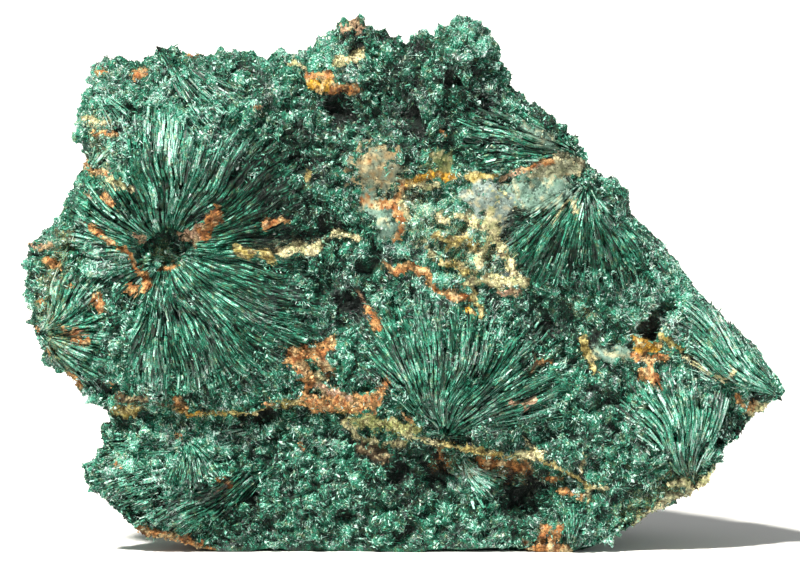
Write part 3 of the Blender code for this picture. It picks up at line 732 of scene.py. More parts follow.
# %% The hidden crust, and all that coats the green
HIDDEN_PATCHES = ((1.0, 9.0, 61), (0.5, 2.4, 67), (0.3, 0.8, 69))
HIDDEN_BLENDS = ((1.0, 2.6, 71), (0.5, 0.5, 72))
HIDDEN_EDGE = (0.42, 0.56)
HIDDEN_RANGE = (-0.4, 0.4)
HIDDEN_BEHIND = (-9.0 * MM, -5.0 * MM)
SILK_AMOUNT = 0.72
STAIN_AMOUNT = 0.33


def hidden_crust(points):
    """Patches of limonite on the sides and the back, which the picture doesn't show."""
    amount = eased(layered(points, HIDDEN_PATCHES), *HIDDEN_EDGE)
    amount = amount * eased(points[:, 1], *HIDDEN_BEHIND)
    blend = eased(layered(points, HIDDEN_BLENDS), *HIDDEN_RANGE)[:, None]
    return EARTHS["orange"][0] * (1.0 - blend) + EARTHS["yellow"][0] * blend, amount


def coating(points):
    """Colour and amount of all that lies on the green at each point, and how silky it is."""
    colour, amount = stroked(points, STROKES, 1.0, CRUST_EDGE)
    silk_colour, silky = stroked(points, SILKS, 1.2, SILK_EDGE)
    stain_colour, stained = stroked(points, STAINS, 2.0, SILK_EDGE)
    hidden_colour, hidden = hidden_crust(points)
    for other, level in ((silk_colour, SILK_AMOUNT * silky), (stain_colour, STAIN_AMOUNT * stained),
                         (hidden_colour, hidden)):
        taken = level > amount
        colour[taken] = other[taken]
        amount = np.maximum(amount, level)
    return colour, amount, silky


print("hidden patches about", HIDDEN_PATCHES[0][1], "mm across")

# %% [markdown]
# ## Pale, dark and dusty stretches
#
# The green isn't even: some sprays are pale mint, others deep bottle green, and in places a grey dust dulls
# them.
# A list of soft spots says where, each a place, a radius and a shift of shade, and a broad faint noise varies
# the sprays between them. The spots are partly the stone's own tone and partly painted light: painted pale
# where fibres face the light, and painted shade over the hollows and the faces turned from the key. The dust
# follows noise alone.

# %% Soft spots of tone and painted shade
TONE_AND_PAINTED_SHADE_SPOTS = (
    (262, 180, 62, -0.26), (300, 232, 50, -0.20), (395, 82, 45, -0.12), (440, 112, 45, -0.14),
    (530, 242, 40, -0.08), (437, 474, 28, -0.14), (522, 490, 34, -0.20), (232, 500, 38, -0.16),
    (560, 335, 40, -0.06), (352, 302, 20, -0.26), (620, 522, 32, -0.05), (738, 432, 24, -0.24),
    (165, 248, 26, 0.30), (340, 107, 20, -0.20), (352, 46, 14, -0.20), (416, 46, 14, -0.18),
    (455, 72, 24, -0.16), (646, 326, 18, 0.10), (590, 120, 30, -0.22), (550, 122, 20, -0.20),
    (640, 455, 40, -0.04), (192, 130, 62, 0.26), (112, 250, 38, 0.16), (140, 360, 42, 0.16),
    (668, 420, 46, 0.08), (742, 362, 44, 0.10), (430, 352, 50, 0.04), (482, 328, 40, 0.08),
    (532, 134, 32, 0.06), (472, 480, 24, 0.30), (190, 452, 38, 0.16), (118, 462, 42, 0.16),
    (330, 62, 38, 0.18), (455, 240, 58, 0.30), (105, 100, 40, 0.16), (385, 520, 50, 0.02),
    (400, 480, 70, -0.06), (672, 290, 46, 0.20), (470, 40, 28, 0.12), (610, 530, 40, 0.14),
    (450, 110, 30, 0.06),
)
SPOT_SPREAD = 0.8
DUST_PATCHES = ((1.0, 4.0, 301), (0.6, 1.2, 303))
DUST_AMOUNT, DUST_EVERYWHERE = 0.60, 0.04
DUST_LIMITS = (-0.4, 0.8)
BROAD_TONES = ((1.0, 3.2, 321),)
BROAD_TONE = 0.10


def tone_and_painted_shade_shift(points):
    """The sum of the soft spots at each point, on the front only: the stone's own tone with painted light and
    shade.
    """
    px, py = to_px(points[:, 0], points[:, 2])
    shift = np.zeros(len(px))
    for spot_x, spot_y, radius, change in TONE_AND_PAINTED_SHADE_SPOTS:
        shift += change * np.exp(-((px - spot_x) ** 2 + (py - spot_y) ** 2) / (SPOT_SPREAD * radius) ** 2)
    return shift * (points[:, 1] < 0.0)


def dust_at(points):
    """How much grey dust lies at each point; below 0 it only takes some of the shader's own specks away."""
    return np.clip(DUST_AMOUNT * layered(points, DUST_PATCHES) + DUST_EVERYWHERE, *DUST_LIMITS)


print(len(TONE_AND_PAINTED_SHADE_SPOTS), "soft spots")

# %% [markdown]
# ## The ground mass
#
# Between the fibres shows the stone they grow from. It could be a bump map, but ledges, creases and crusts
# shade one another, so it is a real surface: the solid's mesh, welded, cut finer, smoothed a little, and
# later pushed in and out by the felt. Only the front's long edges are cut a third time, because that is the
# side seen from near by.

# %% Ground mass mesh
WELD = 1e-6
GROUND_CUTS = 2
FRONT_EXTRA_EDGES = 35000
FRONT_FACING = -0.30
BACK_FACING = 0.45


def coordinates(mesh, domain="vertices", key="co"):
    """A mesh's points, or another vector of its elements, as an array."""
    elements = getattr(mesh, domain)
    values = np.empty(3 * len(elements), np.float32)
    elements.foreach_get(key, values)
    return values.reshape(-1, 3).astype(float)


def place_points(mesh, points):
    """Moves a mesh's points, none of them below the table."""
    points[:, 2] = np.maximum(points[:, 2], 0.0)
    mesh.vertices.foreach_set("co", points.astype(np.float32).ravel())
    mesh.update()


def unit(vectors):
    """Vectors scaled to length 1."""
    return vectors / np.maximum(np.linalg.norm(vectors, axis=1, keepdims=True), 1e-12)


shape = bmesh.new()
shape.from_mesh(lump.data)
bmesh.ops.remove_doubles(shape, verts=shape.verts[:], dist=WELD)
for _ in range(GROUND_CUTS):
    bmesh.ops.subdivide_edges(shape, edges=shape.edges[:], cuts=1, use_grid_fill=True)
shape.normal_update()
seen = {edge for face in shape.faces if face.normal.y < FRONT_FACING for edge in face.edges}
longest = sorted(seen, key=lambda edge: (-round(edge.calc_length(), 7), edge.index))[:FRONT_EXTRA_EDGES]
bmesh.ops.subdivide_edges(shape, edges=longest, cuts=1, use_grid_fill=True)
bmesh.ops.triangulate(shape, faces=[face for face in shape.faces if len(face.verts) > 3])
ground_mesh = bpy.data.meshes.new("ground_mass")
shape.to_mesh(ground_mesh)
shape.free()
ground = placed(bpy.data.objects.new("ground_mass", ground_mesh))
ground_points = coordinates(ground_mesh)
ground_faces = np.empty(3 * len(ground_mesh.polygons), np.int32)
ground_mesh.polygons.foreach_get("vertices", ground_faces)
ground_faces = ground_faces.reshape(-1, 3)
print("ground mass:", len(ground_faces), "triangles")

# %% The smooth body
SMOOTHING_ROUNDS = 4
SMOOTHING, CALM_SMOOTHING = 0.30, 0.50
CALMING_CRUST = (0.2, 0.8)
FOOT_BAND = (0.2 * MM, 1.3 * MM)


def smoothed(mesh, points, weight, rounds):
    """Points pulled to the mean of their neighbours, by weight."""
    pairs = np.empty(2 * len(mesh.edges), np.int32)
    mesh.edges.foreach_get("vertices", pairs)
    first, second = pairs.reshape(-1, 2).T
    count = len(points)
    counts = np.bincount(first, minlength=count) + np.bincount(second, minlength=count)
    for _ in range(rounds):
        sums = np.column_stack([
            np.bincount(first, points[second, axis], count) + np.bincount(second, points[first, axis], count)
            for axis in range(3)])
        points = points + (sums / counts[:, None] - points) * weight[:, None]
    return points


_, coat, silky = coating(ground_points)
calm = np.clip(np.maximum(eased(coat, *CALMING_CRUST), silky), 0.0, 1.0)
foot = eased(ground_points[:, 2], *FOOT_BAND)
weight = (SMOOTHING + CALM_SMOOTHING * calm) * (foot > 0.0)
body_points = smoothed(ground_mesh, ground_points, weight, SMOOTHING_ROUNDS)
place_points(ground_mesh, body_points.copy())
body_normals = coordinates(ground_mesh, "vertices", "normal")
body = BVHTree.FromPolygons(body_points.tolist(), ground_faces.tolist())
print("smoothed most, under crust and silk:", round(100 * float((calm > 0.5).mean()), 1), "% of its points")

# %% [markdown]
# ## A depth map of each face
#
# Sheets of fibres and single fibres are both laid on the smoothed body. Looking straight in from the front
# and from the back over a fine grid gives its depth once, and every later place is read from that grid.

# %% Depth maps
MAP_STEP = 0.2 * MM
LOOK_FROM = 0.2
MAP_COLUMNS = np.arange(cad_low.x, cad_high.x, MAP_STEP).tolist()
MAP_ROWS = np.arange(cad_low.z, cad_high.z, MAP_STEP).tolist()


def depth_map(side):
    """Y of the smooth body and its normal over a grid, from one side; NaN where the look misses it."""
    found = []
    ahead = Vector((0.0, -side, 0.0))
    for up, across in itertools.product(MAP_ROWS, MAP_COLUMNS):
        hit, normal, _, _ = body.ray_cast(Vector((across, side * LOOK_FROM, up)), ahead)
        found.append((math.nan,) * 4 if hit is None else (hit.y, *normal))
    return np.array(found).reshape(-1, len(MAP_COLUMNS), 4)


DEPTH_MAPS = {side: depth_map(side) for side in SPRAYS}


def body_depth(x, z, side):
    """Y of the smooth body at each place and its normal, blended from the four nearest; NaN where missed."""
    found = DEPTH_MAPS[side]
    column = np.clip((x - cad_low.x) / MAP_STEP, 0.0, found.shape[1] - 1.001)
    row = np.clip((z - cad_low.z) / MAP_STEP, 0.0, found.shape[0] - 1.001)
    left, low = column.astype(int), row.astype(int)
    across, up = (column - left)[:, None], (row - low)[:, None]
    lower = found[low, left] * (1.0 - across) + found[low, left + 1] * across
    upper = found[low + 1, left] * (1.0 - across) + found[low + 1, left + 1] * across
    mixed = lower * (1.0 - up) + upper * up
    return mixed[:, 0], mixed[:, 1:]


print("depth maps of", [found.shape[:2] for found in DEPTH_MAPS.values()])

# %% [markdown]
# ## How far each spray's sheet reaches
#
# Broken along its length, a spray shows fibres that lie side by side without a gap, like the grain of split
# wood. Each spray therefore becomes a sheet of its own, laid over the ground mass. A sheet is columns that
# run out from its apex, and each column ends where it meets another spray, a steep edge of the stone or its
# own tips. The ground mass has to know that extent too, because it steps back under the sheets.

# %% Sheet extents
SHEET_COLUMN = {-1: 0.12 * MM, 1: 0.32 * MM}
SHEET_FACING = 0.32
SHEET_FOOT = 0.8 * MM
REACH_STEP = 0.3 * MM
NEAR_APEX = 0.22
FULL_TURN = 6.2
COLUMN_RING = 0.75
NO_SHEET = 9.0


def sheet_reaches(spray, number, side, angles, closed):
    """How far each direction runs before it meets another spray or the stone turns away.

    The least of three neighbours and then the mean of five keep the outline inside and smooth."""
    furthest = furthest_of(spray) * PIXEL
    radii = np.arange(REACH_STEP, furthest, REACH_STEP)
    angle, radius = (values.ravel() for values in np.meshgrid(angles, radii, indexing="ij"))
    x, z = bowed(spray, angle, radius)
    _, face = body_depth(x, z, side)
    held = (owner_of(x, z, side) == number) & (face[:, 1] * side > SHEET_FACING) & (z > SHEET_FOOT)
    held |= radius < NEAR_APEX * furthest
    reach = REACH_STEP * (1.0 + np.cumprod(held.reshape(len(angles), -1), axis=1).sum(axis=1))
    padded = np.pad(reach, 3, mode="wrap" if closed else "edge")
    lowest = np.min([padded[hop:hop + len(reach) + 4] for hop in range(3)], axis=0)
    return np.mean([lowest[hop:hop + len(reach)] for hop in range(5)], axis=0)


def extent_of(spray, number, side):
    """The angles of a sheet's columns and their reaches, and whether it closes on itself."""
    first, last = opening_of(spray)
    closed = last - first > FULL_TURN
    columns = int((last - first) * COLUMN_RING * (furthest_of(spray) * PIXEL) / SHEET_COLUMN[side])
    angles = np.linspace(first, last, columns, endpoint=not closed)
    return angles, sheet_reaches(spray, number, side, angles, closed), closed


EXTENTS = {side: [extent_of(spray, number, side) for number, spray in enumerate(sprays.values())]
           for side, sprays in SPRAYS.items()}


def sheet_part(x, z, side):
    """How far along its sheet each place lies, over 1 outside them all, and how far in from its two sides."""
    part = np.full(len(x), NO_SHEET)
    inset = np.zeros(len(x))
    for spray, (angles, reach, closed) in zip(SPRAYS[side].values(), EXTENTS[side]):
        angle, radius = polar(spray, x, z)
        for turn in (angle, angle + 2.0 * math.pi):
            here = radius / np.interp(turn, angles, reach)
            aside = radius * np.minimum(turn - angles[0], angles[-1] - turn)
            nearer = (aside > (-MM if closed else 0.0)) & (here < part)
            part = np.where(nearer, here, part)
            inset = np.where(nearer, MM if closed else aside, inset)
    return part, inset


print("the rosette's sheet reaches", [in_mm(reach) for reach in EXTENTS[-1][0][1][::200]], "mm")

# %% [markdown]
# ## Relief and colours of the ground mass
#
# The felt's relief pushes the body in and out, except where something calms it: earthy crust, silky domes,
# and the lump's right-hand edge, which is a clean straight break. Under the sheets the ground steps back, but
# not in the hollows, where the sheets sink instead. Its colours are stored on its points as named attributes,
# for the materials to read: the crust's colour and amount, how silky it is, the shade of green and the dust.
# That shade of green is painted shade: paler on top of the felt's lumps, darker in its creases, pits and
# hollows.

# %% Ground mass relief
GROUND_SINK = 0.14 * MM
UNDER_SHEETS = 1.1 * MM
STRAIGHT_FROM, STRAIGHT_FULL, STRAIGHT_FOOT = 585.0, 640.0, 400.0
STRAIGHT_TURN = (0.35, 0.85)
CALM_SHARE, SILK_SHARE = 0.72, 0.92
HOLLOW_PAINTED_SHADE = 0.5
UNDER_TIPS = (0.80, 0.94)
UNDER_SIDES = (0.15 * MM, 0.75 * MM)
UNDER_FACING = 0.2
OPEN_HOLLOW = (0.2, 0.5)
CRUST_LIFT, CRUST_LEVEL = 0.22 * MM, 0.6
LIFTING_CRUST = (0.3, 0.8)
CRUST_LUMPS = ((1.0, 0.9, 17),)

relief, level = felt_relief(body_points)
# The hollows are painted darker here, as painted shade.
level = level - HOLLOW_PAINTED_SHADE * hollow_at(body_points, HOLLOWS)
edge_x, edge_y = to_px(body_points[:, 0], body_points[:, 2])
straight = eased(edge_x, STRAIGHT_FROM, STRAIGHT_FULL) * (edge_y < STRAIGHT_FOOT)
straight *= faded(np.abs(body_normals[:, 1]), *STRAIGHT_TURN)
calmed = np.maximum(CALM_SHARE * np.maximum(calm, straight), SILK_SHARE * silky)
push = (relief * (1.0 - calmed) - GROUND_SINK) * foot
covered = np.zeros(len(body_points))
for side in SPRAYS:
    part, inset = sheet_part(body_points[:, 0], body_points[:, 2], side)
    under = faded(part, *UNDER_TIPS) * eased(inset, *UNDER_SIDES)
    under *= (side * body_normals[:, 1] > UNDER_FACING) * foot * faded(hollow_at(body_points), *OPEN_HOLLOW)
    push = push * (1.0 - under) - UNDER_SHEETS * under
    covered = np.maximum(covered, under)
push += CRUST_LIFT * eased(coat, *LIFTING_CRUST) * (CRUST_LEVEL + layered(body_points, CRUST_LUMPS)) * foot
ground_points = body_points + body_normals * push[:, None]
place_points(ground_mesh, ground_points)
print("ground mass pushed by", [in_mm(depth) for depth in np.percentile(push, [2, 50, 98])], "mm")

# %% Ground mass colours
GROUND_TONE = 0.38
GROUND_LEVEL_PAINTED_SHADE = 0.28
GROUND_PIT_PAINTED_SHADE = 0.12
PIT_LEVELS = (0.40, 0.90)
GROUND_BLOTCHES = ((0.08, 1.5, 73),)
SHADE_LIMITS = (-0.1, 1.0)
KINDS = {"coat": "FLOAT_COLOR", "crusting": "FLOAT", "silk": "FLOAT", "shade": "FLOAT", "dust": "FLOAT",
         "flow": "FLOAT_VECTOR", "axis": "FLOAT_VECTOR", "face": "FLOAT_VECTOR", "size": "FLOAT_VECTOR"}
VALUE_KEYS = {"FLOAT": "value", "FLOAT_VECTOR": "vector", "FLOAT_COLOR": "color"}


def store(mesh, **values):
    """Keeps arrays as named attributes of a mesh's points."""
    for name, array in values.items():
        attribute = mesh.attributes.new(name, KINDS[name], "POINT")
        attribute.data.foreach_set(VALUE_KEYS[KINDS[name]], np.asarray(array, np.float32).ravel())


def coats(colour, amount):
    """Colour and amount side by side, as one attribute holds them."""
    return np.column_stack([colour, amount])


coat_colour, coat, silky = coating(ground_points)
# Painted shade: the ground is painted paler on top of the felt's lumps and darker in its creases, pits and
# hollows.
ground_shade = GROUND_TONE + GROUND_LEVEL_PAINTED_SHADE * level - GROUND_PIT_PAINTED_SHADE * eased(-level, *PIT_LEVELS)
ground_shade = ground_shade + tone_and_painted_shade_shift(ground_points) + layered(ground_points, GROUND_BLOTCHES)
store(ground_mesh, coat=coats(coat_colour, coat), crusting=coat, silk=silky,
      shade=np.clip(ground_shade, *SHADE_LIMITS), dust=dust_at(ground_points), flow=ground_points)
print("coated:", round(100 * float((coat > 0.5).mean()), 1), "% of the ground's points")

# %% [markdown]
# ## Malachite's greens
#
# Malachite runs from near black to pale mint, always with a little blue in it; the ramp's near black end also
# carries the painted shade of gaps and creases, and its pale mint end the painted glints of lit fibres. Its
# index is about 1.66 to 1.91, and its fibres are silky, so the gloss is a broad soft one. The real fibres are
# some hundredths of a millimetre across, too fine for the picture, so grain and streaks are drawn at one to
# one and a half pixels. Coarser noises add specks of grey dust and a breath of olive, and make the earths
# gritty, except on the silky domes. Each noise has a size, a detail and a roughness, and each range stretches
# it from one pair of values to another.

# %% Greens, noises and finishes
GREENS = ((0.0, "#01110b"), (0.20, "#032b1d"), (0.42, "#0d6147"), (0.64, "#379b7e"), (0.82, "#80ceb6"),
          (1.0, "#d2f2ea"))
DUSTS = ((0.0, "#0b1112"), (0.3, "#364341"), (0.6, "#7f8d8a"), (1.0, "#d6dddd"))
OLIVES = ((0.0, "#0d1006"), (0.35, "#475029"), (0.65, "#949a68"), (1.0, "#e4e2b8"))
STAIN = "#4b3a22"
MALACHITE_IOR = 1.75
STREAKS = (3.0, 0.6)
NOISES = {"grain": (0.21 * MM, 3.0, 0.75), "speck": (0.55 * MM, 4.0, 0.75), "ochre": (0.90 * MM, 5.0, 0.75),
          "grit": (0.50 * MM, 5.0, 0.72), "stain": (1.10 * MM, 4.0, 0.70)}
RANGES = {"speck": (0.38, 0.62, -0.60, 0.60), "ochre": (0.53, 0.64, 0.0, 0.60),
          "grit": (0.38, 0.62, 0.25, 1.50), "stain": (0.50, 0.40, 0.0, 0.75)}
SWING, STEADY_SWING = 1.3, 0.35
SILK_SMOOTHING, SILK_TONE = 0.75, 0.92
COVER_FROM, COVER_FULL = 0.80, 1.02
SILKY_FIBRES = {"roughness": 0.42, "coated_roughness": 0.85, "streak_place": "", "streak_size": 0.17 * MM,
                "spread": 0.88, "bump": 0.04 * MM, "gleam": 0.26}
FELTED_GROUND = {"roughness": 0.60, "coated_roughness": 0.90, "streak_place": "flow",
                 "streak_size": 0.14 * MM, "spread": 1.25, "bump": 0.12 * MM, "gleam": 0.14}
print("grain drawn at", round(NOISES["grain"][0] / PIXEL, 1), "pixels")

# %% Green materials


def with_stops(node, stops):
    """A ramp node, running through (place, hex colour) stops."""
    while len(node.color_ramp.elements) < len(stops):
        node.color_ramp.elements.new(0.5)
    for element, (place, colour) in zip(node.color_ramp.elements, stops):
        element.position = place
        element.color = (*linear(colour), 1.0)
    return node


def green_finish(name, roughness, coated_roughness, streak_place, streak_size, spread, bump, gleam):
    """Malachite coloured by its shade, dulled by dust, streaked in its own space, under whatever coats it."""
    material, tree, shader = new_material(name)
    place = add(tree, "ShaderNodeTexCoord").outputs["Object"]
    shade, dust, crusting, silk = (add(tree, "ShaderNodeAttribute", attribute_name=key).outputs["Fac"]
                                   for key in ("shade", "dust", "crusting", "silk"))
    coat = add(tree, "ShaderNodeAttribute", attribute_name="coat").outputs["Color"]
    where = place
    if streak_place:
        where = add(tree, "ShaderNodeAttribute", attribute_name=streak_place).outputs["Vector"]
    noise = {}
    for key, (size, detail, rough) in {"streaks": (streak_size, *STREAKS), **NOISES}.items():
        vector = where if key == "streaks" else place
        noise[key] = add(tree, "ShaderNodeTexNoise", {"Vector": vector, "Scale": 1.0 / size, "Detail": detail,
                                                      "Roughness": rough}).outputs["Fac"]
    pattern = {}
    for key, (low, high, least, most) in RANGES.items():
        stretched = {"Value": noise[key], "From Min": low, "From Max": high, "To Min": least, "To Max": most}
        pattern[key] = add(tree, "ShaderNodeMapRange", stretched).outputs[0]
    both = add(tree, "ShaderNodeMath", {0: noise["streaks"], 1: noise["grain"]}, operation="ADD").outputs[0]
    swing = add(tree, "ShaderNodeMath", {0: both, 1: 1.0}, operation="SUBTRACT").outputs[0]
    swell = add(tree, "ShaderNodeMath", {0: shade, 1: SWING * spread, 2: STEADY_SWING * spread},
                operation="MULTIPLY_ADD").outputs[0]
    varied = add(tree, "ShaderNodeMath", {0: swing, 1: swell, 2: shade}, operation="MULTIPLY_ADD").outputs[0]
    green, grey, olive = (with_stops(add(tree, "ShaderNodeValToRGB", {"Fac": varied}), stops).outputs["Color"]
                          for stops in (GREENS, DUSTS, OLIVES))
    dust = add(tree, "ShaderNodeMath", {0: dust, 1: pattern["speck"]}, operation="ADD",
               use_clamp=True).outputs[0]
    smoother = add(tree, "ShaderNodeMath", {0: silk, 1: SILK_SMOOTHING}, operation="MULTIPLY").outputs[0]
    stained = add(tree, "ShaderNodeMath", {0: pattern["stain"], 1: smoother}, operation="SUBTRACT",
                  use_clamp=True).outputs[0]
    grit = add(tree, "ShaderNodeMix", {"Factor": smoother, "A": pattern["grit"],
                                       "B": SILK_TONE}).outputs["Result"]
    cover = add(tree, "ShaderNodeMath", {0: noise["grain"], 1: crusting}, operation="ADD").outputs[0]
    covered = add(tree, "ShaderNodeMapRange", {"Value": cover, "From Min": COVER_FROM,
                                               "From Max": COVER_FULL}).outputs[0]
    earth = add(tree, "ShaderNodeMix", {"Factor": 1.0, "A": coat, "B": grit}, data_type="RGBA",
                blend_type="MULTIPLY").outputs["Result"]
    earth = add(tree, "ShaderNodeMix", {"Factor": stained, "A": earth, "B": (*linear(STAIN), 1.0)},
                data_type="RGBA").outputs["Result"]
    colour = green
    for factor, layer in ((dust, grey), (pattern["ochre"], olive), (covered, earth)):
        colour = add(tree, "ShaderNodeMix", {"Factor": factor, "A": colour, "B": layer},
                     data_type="RGBA").outputs["Result"]
    gloss = add(tree, "ShaderNodeMapRange", {"Value": covered, "To Min": roughness,
                                             "To Max": coated_roughness}).outputs[0]
    bumped = add(tree, "ShaderNodeBump", {"Height": both, "Distance": bump}).outputs["Normal"]
    tree.links.new(colour, shader.inputs["Base Color"])
    tree.links.new(gloss, shader.inputs["Roughness"])
    tree.links.new(bumped, shader.inputs["Normal"])
    shader.inputs["IOR"].default_value = MALACHITE_IOR
    shader.inputs["Specular IOR Level"].default_value = gleam
    return material


fibre_finish = green_finish("silky malachite fibres", **SILKY_FIBRES)
ground_finish = green_finish("felted malachite ground", **FELTED_GROUND)
ground_mesh.materials.append(ground_finish)
print("two green finishes")

# %% [markdown]
# ## Sheets of fibres
#
# A sheet has about two columns to a fibre, with a point every few tenths of a millimetre along them.
# Bundles, fibres, cracks and ledges raise and sink the points, and towards its tips and in hollows a sheet
# crumbles into felt. Such a grid is fine across the fibres and coarse along them, which suits them exactly
# and costs few triangles. The rim of the sheet dives into the ground mass, and a fan of triangles deep inside
# the stone closes it.

# %% The grid of a sheet
SHEET_ROW = {-1: 0.34 * MM, 1: 0.80 * MM}
COLUMN_JITTER = 0.18
ROW_JITTER = 0.35
FIRST_ROW = 0.2
SHEET_SEED = 5
sheet_draw = np.random.default_rng(SHEET_SEED)


def sheet_grid(spray, side, angles, reach):
    """Angle, share of the reach, distance and place of each point of a sheet, on the smooth body."""
    columns, rows = len(angles), 1 + int(reach.max() / SHEET_ROW[side])
    shares = np.arange(1.0, rows + 1) / rows
    angle, part = (values.ravel() for values in np.meshgrid(angles, shares, indexing="ij"))
    angle = angle + sheet_draw.normal(0.0, COLUMN_JITTER, len(angle)) * (angles[-1] - angles[0]) / columns
    part = part + sheet_draw.uniform(-ROW_JITTER, ROW_JITTER, len(part)) / rows
    part = np.clip(part, FIRST_ROW / rows, 1.0)
    radius = part * np.repeat(reach, rows)
    x, z = bowed(spray, angle, radius)
    depth = body_depth(x, z, side)[0].reshape(columns, rows)
    inward = [(row, row + 1) for row in range(rows - 2, -1, -1)]
    for row, nearby in inward + [(row, row - 1) for row in range(1, rows)]:
        missed = np.isnan(depth[:, row])
        depth[missed, row] = depth[missed, nearby]
    depth = np.where(np.isnan(depth), np.nanmedian(depth), depth).ravel()
    return angle, part, radius, np.column_stack([x, depth, z])


def sheet_triangles(columns, rows, closed, side):
    """A sheet's triangles; after the grid's points come its apex and the heart that closes it inside."""
    apex, heart = columns * rows, columns * rows + 1
    here = np.arange(columns if closed else columns - 1)
    after = (here + 1) % columns
    inner = (here[:, None] * rows + np.arange(rows - 1)).ravel()
    beyond = (after[:, None] * rows + np.arange(rows - 1)).ravel()
    rim, rim_after = here * rows + rows - 1, after * rows + rows - 1
    triangles = [np.column_stack([inner, inner + 1, beyond + 1]),
                 np.column_stack([inner, beyond + 1, beyond]),
                 np.column_stack([np.full(len(here), apex), here * rows, after * rows]),
                 np.column_stack([np.full(len(here), heart), rim_after, rim])]
    if not closed:
        first = np.concatenate([[apex], np.arange(rows)])
        last = np.concatenate([[apex], (columns - 1) * rows + np.arange(rows)])
        for start, end in ((first[1:], first[:-1]), (last[:-1], last[1:])):
            triangles.append(np.column_stack([np.full(rows, heart), start, end]))
    triangles = np.concatenate(triangles)
    return triangles if side < 0 else triangles[:, ::-1]


print("a sheet's columns are", in_mm(SHEET_COLUMN[-1]), "mm apart and its rows", in_mm(SHEET_ROW[-1]), "mm")

# %% Relief and tones of a sheet
FIBRE_WIDTH = 0.25 * MM
FIBRE_RUN = 1.5 * MM
FIBRE_RELIEF = 0.24 * MM
FIBRE_GROOVE = 0.8
FIBRE_NUMBERS = 20
SHEET_GRAIN = 0.035 * MM
CRUMBLED_TIPS = (0.66, 0.96)
CRUMBLED_MOST = 0.85
CRUMBLINGS = ((0.25, 2.5, 243),)
SHEET_CALM_CRUST, SHEET_CALM = 0.8, 0.7
RIM_SINK = 1.3 * MM
RIM = (0.90, 1.0)
SUNK_HOLLOW = (0.35, 0.65)
SIDE_SINK = 0.6 * MM
APEX_CLEAR = 4.0 * MM
HEART_DEPTH = 2.0 * MM
SHEET_TONE = 0.50
BUNDLE_TONE, BUNDLE_GROOVE_PAINTED_SHADE = 0.34, 0.85
FIBRE_TONE, FIBRE_GROOVE_PAINTED_SHADE = 0.34, 0.44
GRAIN_TONE = 0.07
SHEET_FELT_LEVEL_PAINTED_SHADE, SHEET_FELT_PIT_PAINTED_SHADE = 0.28, 0.20
HEART_TONE = 0.2
print("fibres", in_mm(FIBRE_WIDTH), "mm wide, with relief of", in_mm(FIBRE_RELIEF), "mm")

# %% The surface of a sheet


def sheet_surface(name, number, side, angle, part, radius, points):
    """Raises the points of a sheet in place, and gives their shade and the flow of their fibres."""
    angles, _, closed = EXTENTS[side][number]
    height, tone, groove, flow = bundle_at(angle, radius, number)
    thin_height, thin_tone, thin_groove, _ = bundle_at(angle, radius, number + FIBRE_NUMBERS, FIBRE_WIDTH,
                                                       FIBRE_RUN)
    coarse = coarseness(name, angle) ** 0.5
    relief = coarse * spray_relief(height, groove, ledge_at(angle, radius, number, height))
    relief = relief + FIBRE_RELIEF * (thin_height - 0.5 - FIBRE_GROOVE * thin_groove)
    relief += sheet_draw.normal(0.0, SHEET_GRAIN, len(relief))
    felt_height, felt_level = felt_relief(points)
    hollow = hollow_at(points)
    crumbled = CRUMBLED_MOST * eased(part + layered(points, CRUMBLINGS), *CRUMBLED_TIPS)
    crumbled = np.maximum(crumbled, hollow)
    _, coat, silky = coating(points)
    calm = np.clip(np.maximum(SHEET_CALM_CRUST * eased(coat, *CALMING_CRUST), silky), 0.0, 1.0)
    relief = (relief * (1.0 - crumbled) + felt_height * crumbled) * (1.0 - SHEET_CALM * calm)
    sunk = np.maximum(eased(part, *RIM), eased(hollow, *SUNK_HOLLOW))
    if not closed:
        aside = np.minimum(angle - angles[0], angles[-1] - angle) * radius
        sunk = np.maximum(sunk, faded(aside, 0.0, SIDE_SINK) * eased(radius, 0.0, APEX_CLEAR))
    points[:, 1] += side * (relief - RIM_SINK * sunk)
    pale = SPRAYS[side][name][3]
    # Grooves are painted darker than the bundles and fibres beside them, as painted shade.
    shade = SHEET_TONE + pale + coarse * (BUNDLE_TONE * (tone - 0.5) - BUNDLE_GROOVE_PAINTED_SHADE * groove)
    shade += (FIBRE_TONE * (thin_tone - 0.5) - FIBRE_GROOVE_PAINTED_SHADE * thin_groove) / coarse
    shade += sheet_draw.normal(0.0, GRAIN_TONE, len(shade))
    # The crumbled felt is painted paler on top of its lumps and darker in its pits, as painted light and
    # shade.
    felt_shade = SHEET_TONE + SHEET_FELT_LEVEL_PAINTED_SHADE * felt_level - SHEET_FELT_PIT_PAINTED_SHADE * eased(-felt_level, *PIT_LEVELS)
    shade = shade * (1.0 - crumbled) + felt_shade * crumbled + tone_and_painted_shade_shift(points)
    return shade + BROAD_TONE * coarse * layered(points, BROAD_TONES), flow


def spray_sheet(name, number, side):
    """A closed sheet of one spray, as points, triangles, shades and flow."""
    spray = SPRAYS[side][name]
    angles, reach, closed = EXTENTS[side][number]
    angle, part, radius, points = sheet_grid(spray, side, angles, reach)
    shade, flow = sheet_surface(name, number, side, angle, part, radius, points)
    rows = len(points) // len(angles)
    (apex_x,), (apex_z,) = bowed(spray, np.zeros(1), np.zeros(1))
    apex_y = np.median(points[::rows, 1])
    heart_y = -side * (np.max(-side * points[:, 1]) + HEART_DEPTH)
    points = np.concatenate([points, [[apex_x, apex_y, apex_z], [apex_x, heart_y, apex_z]]])
    shade = np.clip(np.pad(shade, (0, 2), constant_values=HEART_TONE), *SHADE_LIMITS)
    return points, sheet_triangles(len(angles), rows, closed, side), shade, np.pad(flow, ((0, 2), (0, 0)))


